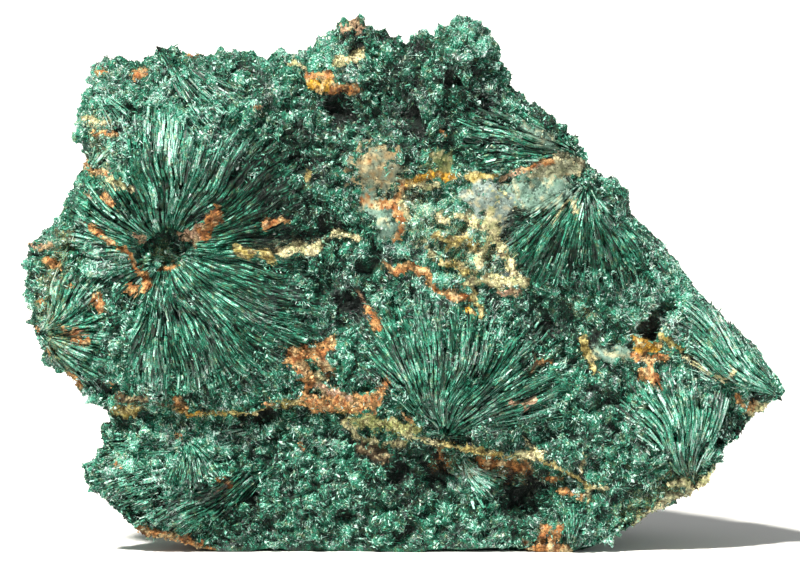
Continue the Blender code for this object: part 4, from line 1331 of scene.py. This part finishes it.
# %% Laying the sheets
GROUPS = {
    "rosette": ("rosette",),
    "middle": ("middle_spray", "small_spray", "slant_spray", "bottom_spray", "under_seam_spray"),
    "right": ("lower_right_spray", "right_tip_spray", "shoulder_spray", "silky_spray"),
    "left": ("left_spray", "upper_spray", "corner_spray", "left_upper_spray", "lower_left_sweep"),
    "back": tuple(BACK_SPRAYS),
}


def mesh_of(name, points, triangles):
    """A mesh from arrays of points and triangles."""
    mesh = bpy.data.meshes.new(name)
    mesh.vertices.add(len(points))
    mesh.loops.add(3 * len(triangles))
    mesh.polygons.add(len(triangles))
    mesh.loops.foreach_set("vertex_index", triangles.astype(np.int32).ravel())
    mesh.polygons.foreach_set("loop_start", np.arange(0, 3 * len(triangles), 3, dtype=np.int32))
    place_points(mesh, points)
    mesh.update(calc_edges=True)
    return mesh


for group, members in GROUPS.items():
    side = 1 if group == "back" else -1
    made = [spray_sheet(name, list(SPRAYS[side]).index(name), side) for name in members]
    starts = np.cumsum([0] + [len(points) for points, *_ in made])
    points, shades, flows = (np.concatenate([sheet[part] for sheet in made]) for part in (0, 2, 3))
    triangles = np.concatenate([faces + start for (_, faces, *_), start in zip(made, starts)])
    dust = dust_at(points)
    sheet_mesh = mesh_of(group + "_sheets", points, triangles)
    colour, amount, soft = coating(points)
    store(sheet_mesh, coat=coats(colour, amount), crusting=amount, silk=soft, shade=shades, dust=dust,
          flow=flows)
    sheet_mesh.materials.append(ground_finish)
    sheet = placed(bpy.data.objects.new(group + "_sheets", sheet_mesh))
    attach(sheet, "root")
    print(sheet.name, len(triangles), "triangles")

# %% [markdown]
# ## Trees that stand a form on every point
#
# A loose fibre is a three-sided needle, a splinter a prism that tapers by about a quarter, and a grain a
# small faceted crumb. Thousands of each differ only in place, direction, size and shade, so Geometry Nodes
# make them: each point of a bare mesh carries those values as attributes, and the tree stands a form on
# every point. Four triangles a needle and eight a splinter or a grain keep two hundred thousand affordable.

# %% Standing a form on every point
CLOUD_KEYS = ("axis", "face", "size", "coat", "shade", "crusting", "dust")
SPENT_KEYS = ("axis", "face", "size")


def standing(tree, points, form, material):
    """Stands a form on every point, turned and sized by the points' attributes, and makes it real."""
    axis, face, size = (add(tree, "GeometryNodeInputNamedAttribute", {"Name": key},
                            data_type="FLOAT_VECTOR").outputs["Attribute"] for key in SPENT_KEYS)
    turn = add(tree, "FunctionNodeAxesToRotation", {"Primary Axis": axis, "Secondary Axis": face},
               primary_axis="Z", secondary_axis="X").outputs["Rotation"]
    cloud = add(tree, "GeometryNodeMeshToPoints", {"Mesh": points}).outputs["Points"]
    flat = add(tree, "GeometryNodeSetShadeSmooth", {"Geometry": form,
                                                    "Shade Smooth": False}).outputs["Geometry"]
    made = add(tree, "GeometryNodeInstanceOnPoints", {"Points": cloud, "Instance": flat, "Rotation": turn,
                                                      "Scale": size}).outputs["Instances"]
    real = add(tree, "GeometryNodeRealizeInstances", {"Geometry": made}).outputs["Geometry"]
    return add(tree, "GeometryNodeSetMaterial", {"Geometry": real, "Material": material}).outputs["Geometry"]


def growing_tree(name, inputs, form_of):
    """A tree that turns points into forms; its inputs are sizes with their usual values."""
    tree = bpy.data.node_groups.new(name, "GeometryNodeTree")
    tree.interface.new_socket("Points", in_out="INPUT", socket_type="NodeSocketGeometry")
    for label, usual in inputs.items():
        kind = "NodeSocketInt" if isinstance(usual, int) else "NodeSocketFloat"
        tree.interface.new_socket(label, in_out="INPUT", socket_type=kind).default_value = usual
    tree.interface.new_socket("Finish", in_out="INPUT", socket_type="NodeSocketMaterial")
    tree.interface.new_socket("Grown", in_out="OUTPUT", socket_type="NodeSocketGeometry")
    given = add(tree, "NodeGroupInput").outputs
    result = standing(tree, given["Points"], form_of(tree, given), given["Finish"])
    add(tree, "NodeGroupOutput", {"Grown": result})
    return tree


print("attributes of each point:", *CLOUD_KEYS)

# %% The growing trees


def slanted_prism(tree, given):
    """A tapering prism whose broken end slants."""
    prism = add(tree, "GeometryNodeMeshCone", {"Vertices": given["Sides"], "Radius Top": given["End width"],
                                               "Radius Bottom": given["Root width"], "Depth": 1.0})
    place = add(tree, "GeometryNodeInputPosition").outputs[0]
    parts = add(tree, "ShaderNodeSeparateXYZ", {"Vector": place}).outputs
    slope = add(tree, "ShaderNodeMath", {0: parts["X"], 1: given["End slant"]},
                operation="MULTIPLY").outputs[0]
    ended = add(tree, "ShaderNodeMath", {0: slope, 1: parts["Z"]}, operation="MULTIPLY").outputs[0]
    offset = add(tree, "ShaderNodeCombineXYZ", {"Z": ended}).outputs[0]
    slanted = add(tree, "GeometryNodeSetPosition", {"Geometry": prism.outputs["Mesh"], "Offset": offset})
    return slanted.outputs["Geometry"]


def faceted_grain(tree, given):
    """A crumb of few facets, which the points' sizes squash."""
    sizes = {"Radius": given["Grain radius"], "Rings": given["Facets up"], "Segments": given["Facets around"]}
    return add(tree, "GeometryNodeMeshUVSphere", sizes).outputs["Mesh"]


fibres_tree = growing_tree("fibres", {"Sides": 4, "Root width": 0.4, "End width": 0.3, "End slant": 0.1},
                           slanted_prism)
grains_tree = growing_tree("grains", {"Grain radius": 1.0, "Facets around": 4, "Facets up": 2}, faceted_grain)
for tree in (fibres_tree, grains_tree):
    print(tree.name, "tree:", len(tree.nodes), "nodes")

# %% Running a tree


def grown(name, tree, cloud, finish, **sizes):
    """Runs a tree on a cloud of points and keeps the result as a plain mesh that rides on the stone."""
    mesh = bpy.data.meshes.new(name + " points")
    mesh.vertices.add(len(cloud["place"]))
    mesh.vertices.foreach_set("co", cloud["place"].astype(np.float32).ravel())
    store(mesh, **{key: cloud[key] for key in CLOUD_KEYS})
    obj = placed(bpy.data.objects.new(name, mesh))
    modifier = obj.modifiers.new("growth", "NODES")
    modifier.node_group = tree
    sockets = {item.name: item.identifier for item in tree.interface.items_tree if item.in_out == "INPUT"}
    modifier[sockets["Finish"]] = finish
    for size_name, value in sizes.items():
        modifier[sockets[size_name.replace("_", " ").capitalize()]] = value
    evaluated = obj.evaluated_get(bpy.context.evaluated_depsgraph_get())
    plain = bpy.data.meshes.new_from_object(evaluated)
    obj.modifiers.remove(modifier)
    obj.data = plain
    plain.name = name
    place_points(plain, coordinates(plain))
    for spent in SPENT_KEYS:
        if plain.attributes.get(spent):
            plain.attributes.remove(plain.attributes[spent])
    triangles = len(plain.loops) - 2 * len(plain.polygons)
    print(f"{name}: {len(cloud['place'])} pieces, {triangles} triangles")
    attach(obj, "root")
    return triangles


print("spent once a tree has run:", *SPENT_KEYS)

# %% [markdown]
# ## Loose fibres and splinters of the sprays
#
# A fibre starts somewhere along its spray and points away from the apex. Its two ends are dropped on the
# smooth body by the depth maps, and it takes the height and shade of its bundle, so fibres of one bundle stay
# together and the grooves between bundles stay open and dark, and fibres beside a groove are painted darker,
# as painted shade. It is left out where its ends lie on different ledges, and it gets rarer towards the tips.
# Where a spray is coarse, splinters take the place of fibres.

# %% Sowing values
SOWING_SEED = 20
FORMS = {
    "fibres": {"density": {-1: 17.0 / MM ** 2, 1: 2.6 / MM ** 2}, "width": {-1: 0.105 * MM, 1: 0.30 * MM},
               "lift": 0.03 * MM, "tone": 0.12},
    "splinters": {"density": {-1: 7.0 / MM ** 2, 1: 1.2 / MM ** 2}, "width": {-1: 0.22 * MM, 1: 0.45 * MM},
                  "lift": 0.06 * MM, "tone": 0.13},
}
LENGTH_SHARE = 0.42
LENGTH_SPREAD = (-0.20, 0.45)
LENGTH_LIMITS = (0.25, 1.8)
LONGEST_SHARE = (0.25, 0.6)
SHORTER_FROM, THINNER_FROM = (0.5, 1.0), (0.70, 1.0)
SHORTER_TIPS = 0.45
THINNER_TIPS = 0.75
# Painted shade and highlight: a share of the pieces is painted nearly black to stand in for gaps, a few very
# pale as glints.
PAINTED_GAP_SHARE, PAINTED_GAP_DARKENING = 0.14, 0.25
PAINTED_GLINT_SHARE, PAINTED_GLINT_LIFT = 0.02, 0.35
GROOVE_LIMIT = 0.16
GROOVE_LUCK = (0.4, 1.2)
LEDGES_MATCH = 0.5
SPLINTERS_FROM, FIBRES_FROM = 0.5, 1.15
LEAST_LIFT = 0.6
WIDTH_SPREAD, THICKNESS_SPREAD = (0.6, 1.35), (0.7, 1.2)
FACING_LIMIT, STEEPEST, HOLLOW_LIMIT = 0.35, 0.9, 0.5
FACE_JITTER = 0.5
CRUSTED_AT = (0.1, 0.9)
CRUST_HIDES = 0.97
WAY_JITTER = 2.6
MOST_TURN = 0.5
DUST_JITTER = 0.25
ROOT_SINK = 0.16 * MM
PROUD_JITTER = 0.06
SPRAY_TONE, SPRAY_BUNDLE_TONE, SPRAY_GROOVE_PAINTED_SHADE = 0.48, 0.38, 0.3
LOWEST_ROOT, LOWEST_TIP = 0.5 * MM, 0.4 * MM
CRUSTED_FROM, CRUSTED_FULL = 0.35, 0.75
draw = np.random.default_rng(SOWING_SEED)
print({form: in_mm(kind["width"][-1]) for form, kind in FORMS.items()}, "mm wide on the front")

# %% Clouds of points


def luck(count):
    """A number from 0 to 1 for each of count pieces."""
    return draw.uniform(0.0, 1.0, count)


def kept(cloud, mask):
    """The part of a cloud that a mask keeps."""
    return {key: values[mask] for key, values in cloud.items()}


def joined(clouds):
    """Several clouds as one."""
    return {key: np.concatenate([cloud[key] for cloud in clouds]) for key in clouds[0]}


def cloud_of(root, tip, face, width, thickness, shade):
    """Points with the attributes that a tree needs, from the two ends of each fibre."""
    run = tip - root
    middle = root + 0.5 * run
    colour, amount, soft = coating(middle)
    for share in CRUSTED_AT:
        amount = np.maximum(amount, coating(root + share * run)[1])
    return {"place": root, "axis": unit(run), "face": face,
            "size": np.column_stack([thickness, width, np.linalg.norm(run, axis=1)]),
            "shade": np.clip(shade, 0.0, 1.0), "coat": coats(colour, amount), "crusting": amount,
            "dust": dust_at(middle) + draw.normal(0.0, DUST_JITTER, len(root)), "soft": soft}


print("a fibre takes its crust from its middle and from", CRUSTED_AT, "of its length")

# %% Where fibres start and end


def radial_tips(spray, x, z, length):
    """The other ends of fibres that follow their spray's bowed rays from x and z."""
    angle, _ = polar(spray, x, z)
    apex_x, apex_z = from_px(*spray[0])
    way = np.arctan2(z - apex_z, x - apex_x)
    ahead, _ = polar(spray, x + length * np.cos(way), z + length * np.sin(way))
    missed = np.arctan2(np.sin(ahead - angle), np.cos(ahead - angle))
    reach = np.hypot(x - apex_x, z - apex_z) + length
    way = way - np.clip(missed * reach / length, -MOST_TURN, MOST_TURN)
    way = way + np.radians(draw.normal(0.0, WAY_JITTER, len(x)))
    return x + length * np.cos(way), z + length * np.sin(way)


def with_painted_gaps_and_glints(shade):
    """Shades with a share of them turned nearly black, as painted shade standing in for gaps, and a few very
    pale, as painted glints.
    """
    chosen = luck(len(shade))
    shade = np.where(chosen < PAINTED_GAP_SHARE, PAINTED_GAP_DARKENING * shade, shade)
    return np.where(chosen > 1.0 - PAINTED_GLINT_SHARE, shade + PAINTED_GLINT_LIFT, shade)


def spray_places(spray, number, side, density):
    """Where the fibres of a spray start and end, and their lengths, as rows of one array."""
    apex_x, apex_z = from_px(*spray[0])
    first, last = opening_of(spray)
    furthest = furthest_of(spray) * PIXEL
    count = int(density * 0.5 * (last - first) * furthest ** 2)
    radius = furthest * np.sqrt(luck(count))
    angle = draw.uniform(first, last, count)
    length = spray[2] * MM * LENGTH_SHARE * np.clip(draw.lognormal(*LENGTH_SPREAD, count), *LENGTH_LIMITS)
    length = np.minimum(length, draw.uniform(*LONGEST_SHARE, count) * furthest)
    root_x, root_z = apex_x + radius * np.cos(angle), apex_z + radius * np.sin(angle)
    share = shares_at(root_x, root_z, side)[number]
    length *= 1.0 - SHORTER_TIPS * eased(share, *SHORTER_FROM)
    tip_x, tip_z = radial_tips(spray, root_x, root_z, length)
    mine = (owner_of(root_x, root_z, side) == number) & (owner_of(tip_x, tip_z, side) == number)
    mine &= luck(count) > THINNER_TIPS * eased(share, *THINNER_FROM)
    return np.array([root_x, root_z, tip_x, tip_z, length])[:, mine]


print("a fibre turns at most", MOST_TURN, "radians to follow its ray")

# %% The fibres and splinters of each spray


def spray_cloud(name, number, side, form):
    """The fibres or splinters of one spray."""
    kind = FORMS[form]
    spray = SPRAYS[side][name]
    places = spray_places(spray, number, side, kind["density"][side])
    root_x, root_z, tip_x, tip_z, _ = places
    angle, radius = polar(spray, 0.5 * (root_x + tip_x), 0.5 * (root_z + tip_z))
    height, tone, groove, _ = bundle_at(angle, radius, number)
    coarse = coarseness(name, angle)
    mine = groove < GROOVE_LIMIT * draw.uniform(*GROOVE_LUCK, len(groove))
    ends = [ledge_at(*polar(spray, x, z), number, height) for x, z in ((root_x, root_z), (tip_x, tip_z))]
    mine &= np.abs(ends[0] - ends[1]) < LEDGES_MATCH
    mine &= luck(len(groove)) < (coarse - SPLINTERS_FROM if form == "splinters" else FIBRES_FROM / coarse)
    ledge = ledge_at(angle, radius, number, height)
    root_x, root_z, tip_x, tip_z, length, height, tone, groove, coarse, ledge = (
        values[mine] for values in (*places, height, tone, groove, coarse, ledge))
    root_y, face = body_depth(root_x, root_z, side)
    tip_y, _ = body_depth(tip_x, tip_z, side)
    count = len(root_x)
    proud = spray_relief(height, groove, ledge) + draw.normal(0.0, PROUD_JITTER, count) * MM
    proud = proud * coarse ** 0.5
    lift = kind["lift"] * (LEAST_LIFT + np.abs(draw.normal(0.0, 1.0, count))) * coarse
    root = np.column_stack([root_x, root_y + side * (proud - ROOT_SINK), root_z])
    tip = np.column_stack([tip_x, tip_y + side * (proud + lift), tip_z])
    shade = SPRAY_TONE + spray[3] + SPRAY_BUNDLE_TONE * (tone - 0.5) * coarse
    shade = shade + draw.normal(0.0, kind["tone"], count) + tone_and_painted_shade_shift(root)
    # Painted shade: fibres beside a groove are painted darker, and a share of them nearly black for gaps, a
    # few pale as glints.
    shade = with_painted_gaps_and_glints(shade + BROAD_TONE * coarse * layered(root, BROAD_TONES) - SPRAY_GROOVE_PAINTED_SHADE * groove)
    width = kind["width"][side] * coarse ** 0.5 * draw.uniform(*WIDTH_SPREAD, count)
    real = np.isfinite(root[:, 1]) & np.isfinite(tip[:, 1]) & (root_z > LOWEST_ROOT) & (tip_z > LOWEST_TIP)
    real &= (face[:, 1] * side > FACING_LIMIT) & (np.abs(tip_y - root_y) < STEEPEST * length)
    real &= hollow_at(np.nan_to_num(root)) < HOLLOW_LIMIT
    turned = face + draw.normal(0.0, FACE_JITTER, (count, 3))
    thickness = width[real] * draw.uniform(*THICKNESS_SPREAD, real.sum())
    cloud = cloud_of(root[real], tip[real], turned[real], width[real], thickness, shade[real])
    crusted = eased(cloud["crusting"], CRUSTED_FROM, CRUSTED_FULL)
    return kept(cloud, luck(len(crusted)) > CRUST_HIDES * crusted)


spray_clouds = {(name, form): spray_cloud(name, number, side, form) for side, sprays in SPRAYS.items()
                for number, name in enumerate(sprays) for form in FORMS}
for form in FORMS:
    print(form, {name: len(cloud["place"]) for (name, kind), cloud in spray_clouds.items() if kind == form})

# %% [markdown]
# ## Shards and grains of the felt
#
# The felt is mostly short shards, with the broken ends of fibres showing as grains among them. Both are sown
# over the triangles of the ground mass by their area. They lie along a direction that drifts slowly over the
# surface, so that neighbours go together in tufts, and they are painted palest on top of the lumps and darkest
# in the creases, as painted light and shade. The tips and sides of the sheets crumble into the same felt, and
# there it is lifted to lie on the sheet. The sides and the back get fewer, coarser pieces, as they are never
# seen from near by.

# %% Where the felt grows
FELTS = {
    "front_shards": {"density": 12.5 / MM ** 2, "width": 0.155 * MM, "length": 0.58 * MM, "rise": 0.20,
                     "sink": 0.04 * MM},
    "front_grains": {"density": 1.9 / MM ** 2, "width": 0.19 * MM, "length": 0.30 * MM, "rise": 0.35,
                     "sink": 0.03 * MM},
    "hidden_shards": {"density": 1.5 / MM ** 2, "width": 0.34 * MM, "length": 1.30 * MM, "rise": 0.20,
                      "sink": 0.08 * MM},
    "hidden_grains": {"density": 0.8 / MM ** 2, "width": 0.27 * MM, "length": 0.50 * MM, "rise": 0.30,
                      "sink": 0.06 * MM},
}
FRONT_DEPTH = -10.0 * MM
FELTED_TIPS = (0.66, 1.0)
FELTED_SIDES = (0.2 * MM, 0.8 * MM)
FELTED_PATCHES = ((1.0, 3.5, 241),)
PATCH_SHARE = 0.5
PATCH_EDGE = (0.25, 0.7)

corners = ground_points[ground_faces]
across_faces = np.cross(corners[:, 1] - corners[:, 0], corners[:, 2] - corners[:, 0])
face_area = 0.5 * np.linalg.norm(across_faces, axis=1)
face_normal = unit(across_faces)
face_middle = corners.mean(axis=1)
face_level = level[ground_faces].mean(axis=1)
face_covered = covered[ground_faces].mean(axis=1)
face_body_normal = unit(body_normals[ground_faces].mean(axis=1))
body_facing = body_normals[ground_faces[:, 0], 1]
front_faces = (body_facing < FRONT_FACING) | (face_middle[:, 1] < FRONT_DEPTH)
felted = np.ones(len(face_area))
for side, facing in ((-1, body_facing < FRONT_FACING), (1, body_facing > BACK_FACING)):
    part, inset = sheet_part(face_middle[:, 0], face_middle[:, 2], side)
    crumbling = np.maximum(eased(part, *FELTED_TIPS), faded(inset, *FELTED_SIDES))
    crumbling += PATCH_SHARE * eased(layered(face_middle, FELTED_PATCHES), *PATCH_EDGE)
    felted = np.where(facing & (part < 1.0), np.clip(crumbling, 0.0, 1.0), felted)
felted = np.maximum(felted, hollow_at(face_middle))
print("felt on", round(100 * float((felted > 0.5).mean()), 1), "% of the ground's triangles")

# %% Sowing the felt
TUFT_SIZE = 2.4 * MM
TUFT_SEEDS = (91, 92, 93)
TUFT_JITTER = 0.13
RISE_JITTER = 0.1
RISE_LIMITS = (-0.2, 1.2)
FELT_LENGTHS, FELT_LENGTH_LIMITS = 0.38, (0.4, 2.4)
FELT_WIDTHS, FELT_THICKNESSES = (0.6, 1.5), (0.5, 1.1)
FELT_FACE_JITTER = 0.8
BODY_SHARE = 0.6
SHEET_TOP = 1.25 * MM
FELT_FOOT, FELT_TIP_FOOT = 0.6 * MM, 0.3 * MM
ROOT_SHARE = 0.2
CREASES = (0.45, 0.95)
FELT_SHADE, FELT_LEVEL_PAINTED_SHADE, CREASE_PAINTED_SHADE, FELT_JITTER = 0.59, 0.34, 0.25, 0.25
FELT_BLOTCHES = ((0.18, 1.3, 95),)
COATED_SHARE = 0.6
CRUST_CLEARS, SILK_CLEARS, CREASE_CLEARS = 0.90, 0.92, 0.30


def sown(weight, density, width, length, rise, sink):
    """Grains or shards over the ground's triangles, as thick as weight says."""
    weight = face_area * weight * (face_middle[:, 2] > FELT_FOOT)
    count = int(density * weight.sum())
    chosen = draw.choice(len(weight), count, p=weight / weight.sum())
    place = np.einsum("ij,ijk->ik", draw.dirichlet((1.0, 1.0, 1.0), count), corners[chosen])
    face = unit(face_normal[chosen] + BODY_SHARE * face_body_normal[chosen])
    lean = np.column_stack([wavy(place, TUFT_SIZE, seed) for seed in TUFT_SEEDS])
    lean = unit(lean + draw.normal(0.0, TUFT_JITTER, (count, 3)))
    lean = unit(lean - face * np.sum(lean * face, axis=1, keepdims=True))
    rises = np.clip(draw.normal(rise, rise + RISE_JITTER, count), *RISE_LIMITS)
    axis = unit(lean + face * rises[:, None])
    length = length * np.clip(draw.lognormal(0.0, FELT_LENGTHS, count), *FELT_LENGTH_LIMITS)
    lifted = face_covered[chosen] * SHEET_TOP - sink
    root = place + face * lifted[:, None] - axis * (ROOT_SHARE * length[:, None])
    # Painted shade: shards are painted paler on top of the lumps and darker in the creases.
    creased = eased(-face_level[chosen], *CREASES)
    shade = FELT_SHADE + FELT_LEVEL_PAINTED_SHADE * face_level[chosen] - CREASE_PAINTED_SHADE * creased
    shade = shade + draw.normal(0.0, FELT_JITTER, count)
    shade = with_painted_gaps_and_glints(shade + layered(place, FELT_BLOTCHES) + tone_and_painted_shade_shift(place))
    width = width * draw.uniform(*FELT_WIDTHS, count)
    turned = face + draw.normal(0.0, FELT_FACE_JITTER, (count, 3))
    thickness = width * draw.uniform(*FELT_THICKNESSES, count)
    cloud = cloud_of(root, root + axis * length[:, None], turned, width, thickness, shade)
    crusted = eased(cloud["crusting"], CRUSTED_FROM, CRUSTED_FULL)
    cleared = np.maximum(CRUST_CLEARS * crusted, SILK_CLEARS * cloud["soft"])
    cleared = np.maximum(cleared, CREASE_CLEARS * creased)
    cloud["crusting"] = cloud["crusting"] * (luck(count) < COATED_SHARE)
    return kept(cloud, (luck(count) > cleared) & (root[:, 2] + axis[:, 2] * length > FELT_TIP_FOOT))


felt = {name: sown(felted * (front_faces if name.startswith("front") else ~front_faces), **form)
        for name, form in FELTS.items()}
print({name: len(cloud["place"]) for name, cloud in felt.items()})

# %% [markdown]
# ## Limonite crumbs
#
# Limonite is earthy: its crust breaks into crumbs a few tenths of a millimetre across. They are sown on the
# ground mass wherever the crust is thick, half sunk, in the crust's own colour a little lighter or darker.

# %% Crumbs
CRUMB_COUNT = 8000
CRUMB_RADIUS = 0.11 * MM
CRUMB_SCATTER = 0.14 * MM
CRUMBLY_CRUST = (0.45, 0.85)
CRUMB_SPREAD = 0.45
CRUMB_SQUASH, CRUMB_TONES = (0.6, 1.3), (0.35, 1.4)
CRUMB_FOOT = (0.5 * MM, 0.3 * MM)
CRUMBS_FRONT, CRUMBS_BEHIND = -5.0 * MM, 0.25
CRUMB_COAT = 0.9
GRIT_SIZE, GRIT_DETAIL = 0.35 * MM, 3.0
GRIT_TONES = (0.3, 0.7, 0.7, 1.2)
GRIT_BUMP = 0.04 * MM
LIMONITE_ROUGHNESS = 0.92


def crumb_cloud():
    """Crumbs on the crusted part of the ground mass."""
    thick = eased(coat, *CRUMBLY_CRUST) * (ground_points[:, 2] > CRUMB_FOOT[0])
    thick *= np.where(ground_points[:, 1] < CRUMBS_FRONT, 1.0, CRUMBS_BEHIND)
    chosen = draw.choice(len(thick), CRUMB_COUNT, p=thick / thick.sum())
    place = ground_points[chosen] + draw.normal(0.0, CRUMB_SCATTER, (CRUMB_COUNT, 3))
    place[:, 2] = np.maximum(place[:, 2], CRUMB_FOOT[1])
    size = CRUMB_RADIUS * draw.lognormal(0.0, CRUMB_SPREAD, (CRUMB_COUNT, 1))
    size = size * draw.uniform(*CRUMB_SQUASH, (CRUMB_COUNT, 3))
    colour = np.clip(coat_colour[chosen] * draw.uniform(*CRUMB_TONES, (CRUMB_COUNT, 1)), 0.0, 1.0)
    axis, face = (unit(draw.normal(0.0, 1.0, (CRUMB_COUNT, 3))) for _ in range(2))
    return {"place": place, "axis": axis, "face": face, "size": size,
            "coat": coats(colour, np.ones(CRUMB_COUNT)), "shade": np.full(CRUMB_COUNT, 0.5),
            "crusting": np.full(CRUMB_COUNT, CRUMB_COAT), "dust": np.zeros(CRUMB_COUNT)}


def earthy_finish():
    """Limonite: a dull iron earth, with no gloss at all."""
    material, tree, shader = new_material("earthy limonite")
    coat = add(tree, "ShaderNodeAttribute", attribute_name="coat").outputs["Color"]
    place = add(tree, "ShaderNodeTexCoord").outputs["Object"]
    grit = add(tree, "ShaderNodeTexNoise", {"Vector": place, "Scale": 1.0 / GRIT_SIZE,
                                            "Detail": GRIT_DETAIL}).outputs["Fac"]
    low, high, least, most = GRIT_TONES
    tone = add(tree, "ShaderNodeMapRange", {"Value": grit, "From Min": low, "From Max": high,
                                            "To Min": least, "To Max": most}).outputs[0]
    colour = add(tree, "ShaderNodeMix", {"Factor": 1.0, "A": coat, "B": tone}, data_type="RGBA",
                 blend_type="MULTIPLY").outputs["Result"]
    bumped = add(tree, "ShaderNodeBump", {"Height": grit, "Distance": GRIT_BUMP}).outputs["Normal"]
    tree.links.new(colour, shader.inputs["Base Color"])
    tree.links.new(bumped, shader.inputs["Normal"])
    shader.inputs["Roughness"].default_value = LIMONITE_ROUGHNESS
    return material


limonite_finish = earthy_finish()
crumbs = crumb_cloud()
print(len(crumbs["place"]), "crumbs")

# %% [markdown]
# ## Growing the pieces
#
# The clouds are grown into a few named pieces. Each stays under 200,000 triangles, so that its saved mesh
# keeps every fibre, and a cloud that is too large is cut from left to right.

# %% Growing
MOST_PIECES = {"fibres": 48000, "shards": 48000, "splinters": 24000, "grains": 24000}
ROOT_WIDTH = 0.65
NEEDLE = {"sides": 3, "root_width": ROOT_WIDTH, "end_width": 0.0, "end_slant": 0.1}
SPLINTER = {**NEEDLE, "end_width": 0.5}
SHARD = {**NEEDLE, "end_slant": 0.0}


def grown_in_parts(name, tree, cloud, **sizes):
    """Grows a cloud as pieces of at most so many fibres each, cut from left to right."""
    order = np.argsort(cloud["place"][:, 0], kind="stable")
    parts = math.ceil(len(order) / MOST_PIECES[name.split("_")[-1]])
    total = 0
    for number, rows in enumerate(np.array_split(order, parts)):
        part_name = f"{name}_{number + 1}" if parts > 1 else name
        total += grown(part_name, tree, kept(cloud, rows), fibre_finish, **sizes)
    return total


grown_triangles = 0
for group, members in GROUPS.items():
    for form, sizes in (("fibres", NEEDLE), ("splinters", SPLINTER)):
        cloud = joined([spray_clouds[name, form] for name in members])
        grown_triangles += grown_in_parts(f"{group}_{form}", fibres_tree, cloud, **sizes)
for name, cloud in felt.items():
    tree, sizes = (grains_tree, {}) if name.endswith("grains") else (fibres_tree, SHARD)
    grown_triangles += grown_in_parts(name, tree, cloud, **sizes)
grown_triangles += grown("limonite_crumbs", grains_tree, crumbs, limonite_finish)
print("grown:", grown_triangles, "triangles in all")

# %% The ground mass takes the solid's place
ground_mesh.polygons.foreach_set("use_smooth", np.ones(len(ground_faces), bool))
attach(ground, "root")
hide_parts("malachite")
print("the ground mass stands for the packed solid")

# %% Sizes
look_low, look_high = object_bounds()
sizes = {"cad": [list(cad_low), list(cad_high)], "visual": [list(look_low), list(look_high)]}
print("visual box in mm:", [in_mm(b - a) for a, b in zip(look_low, look_high)])
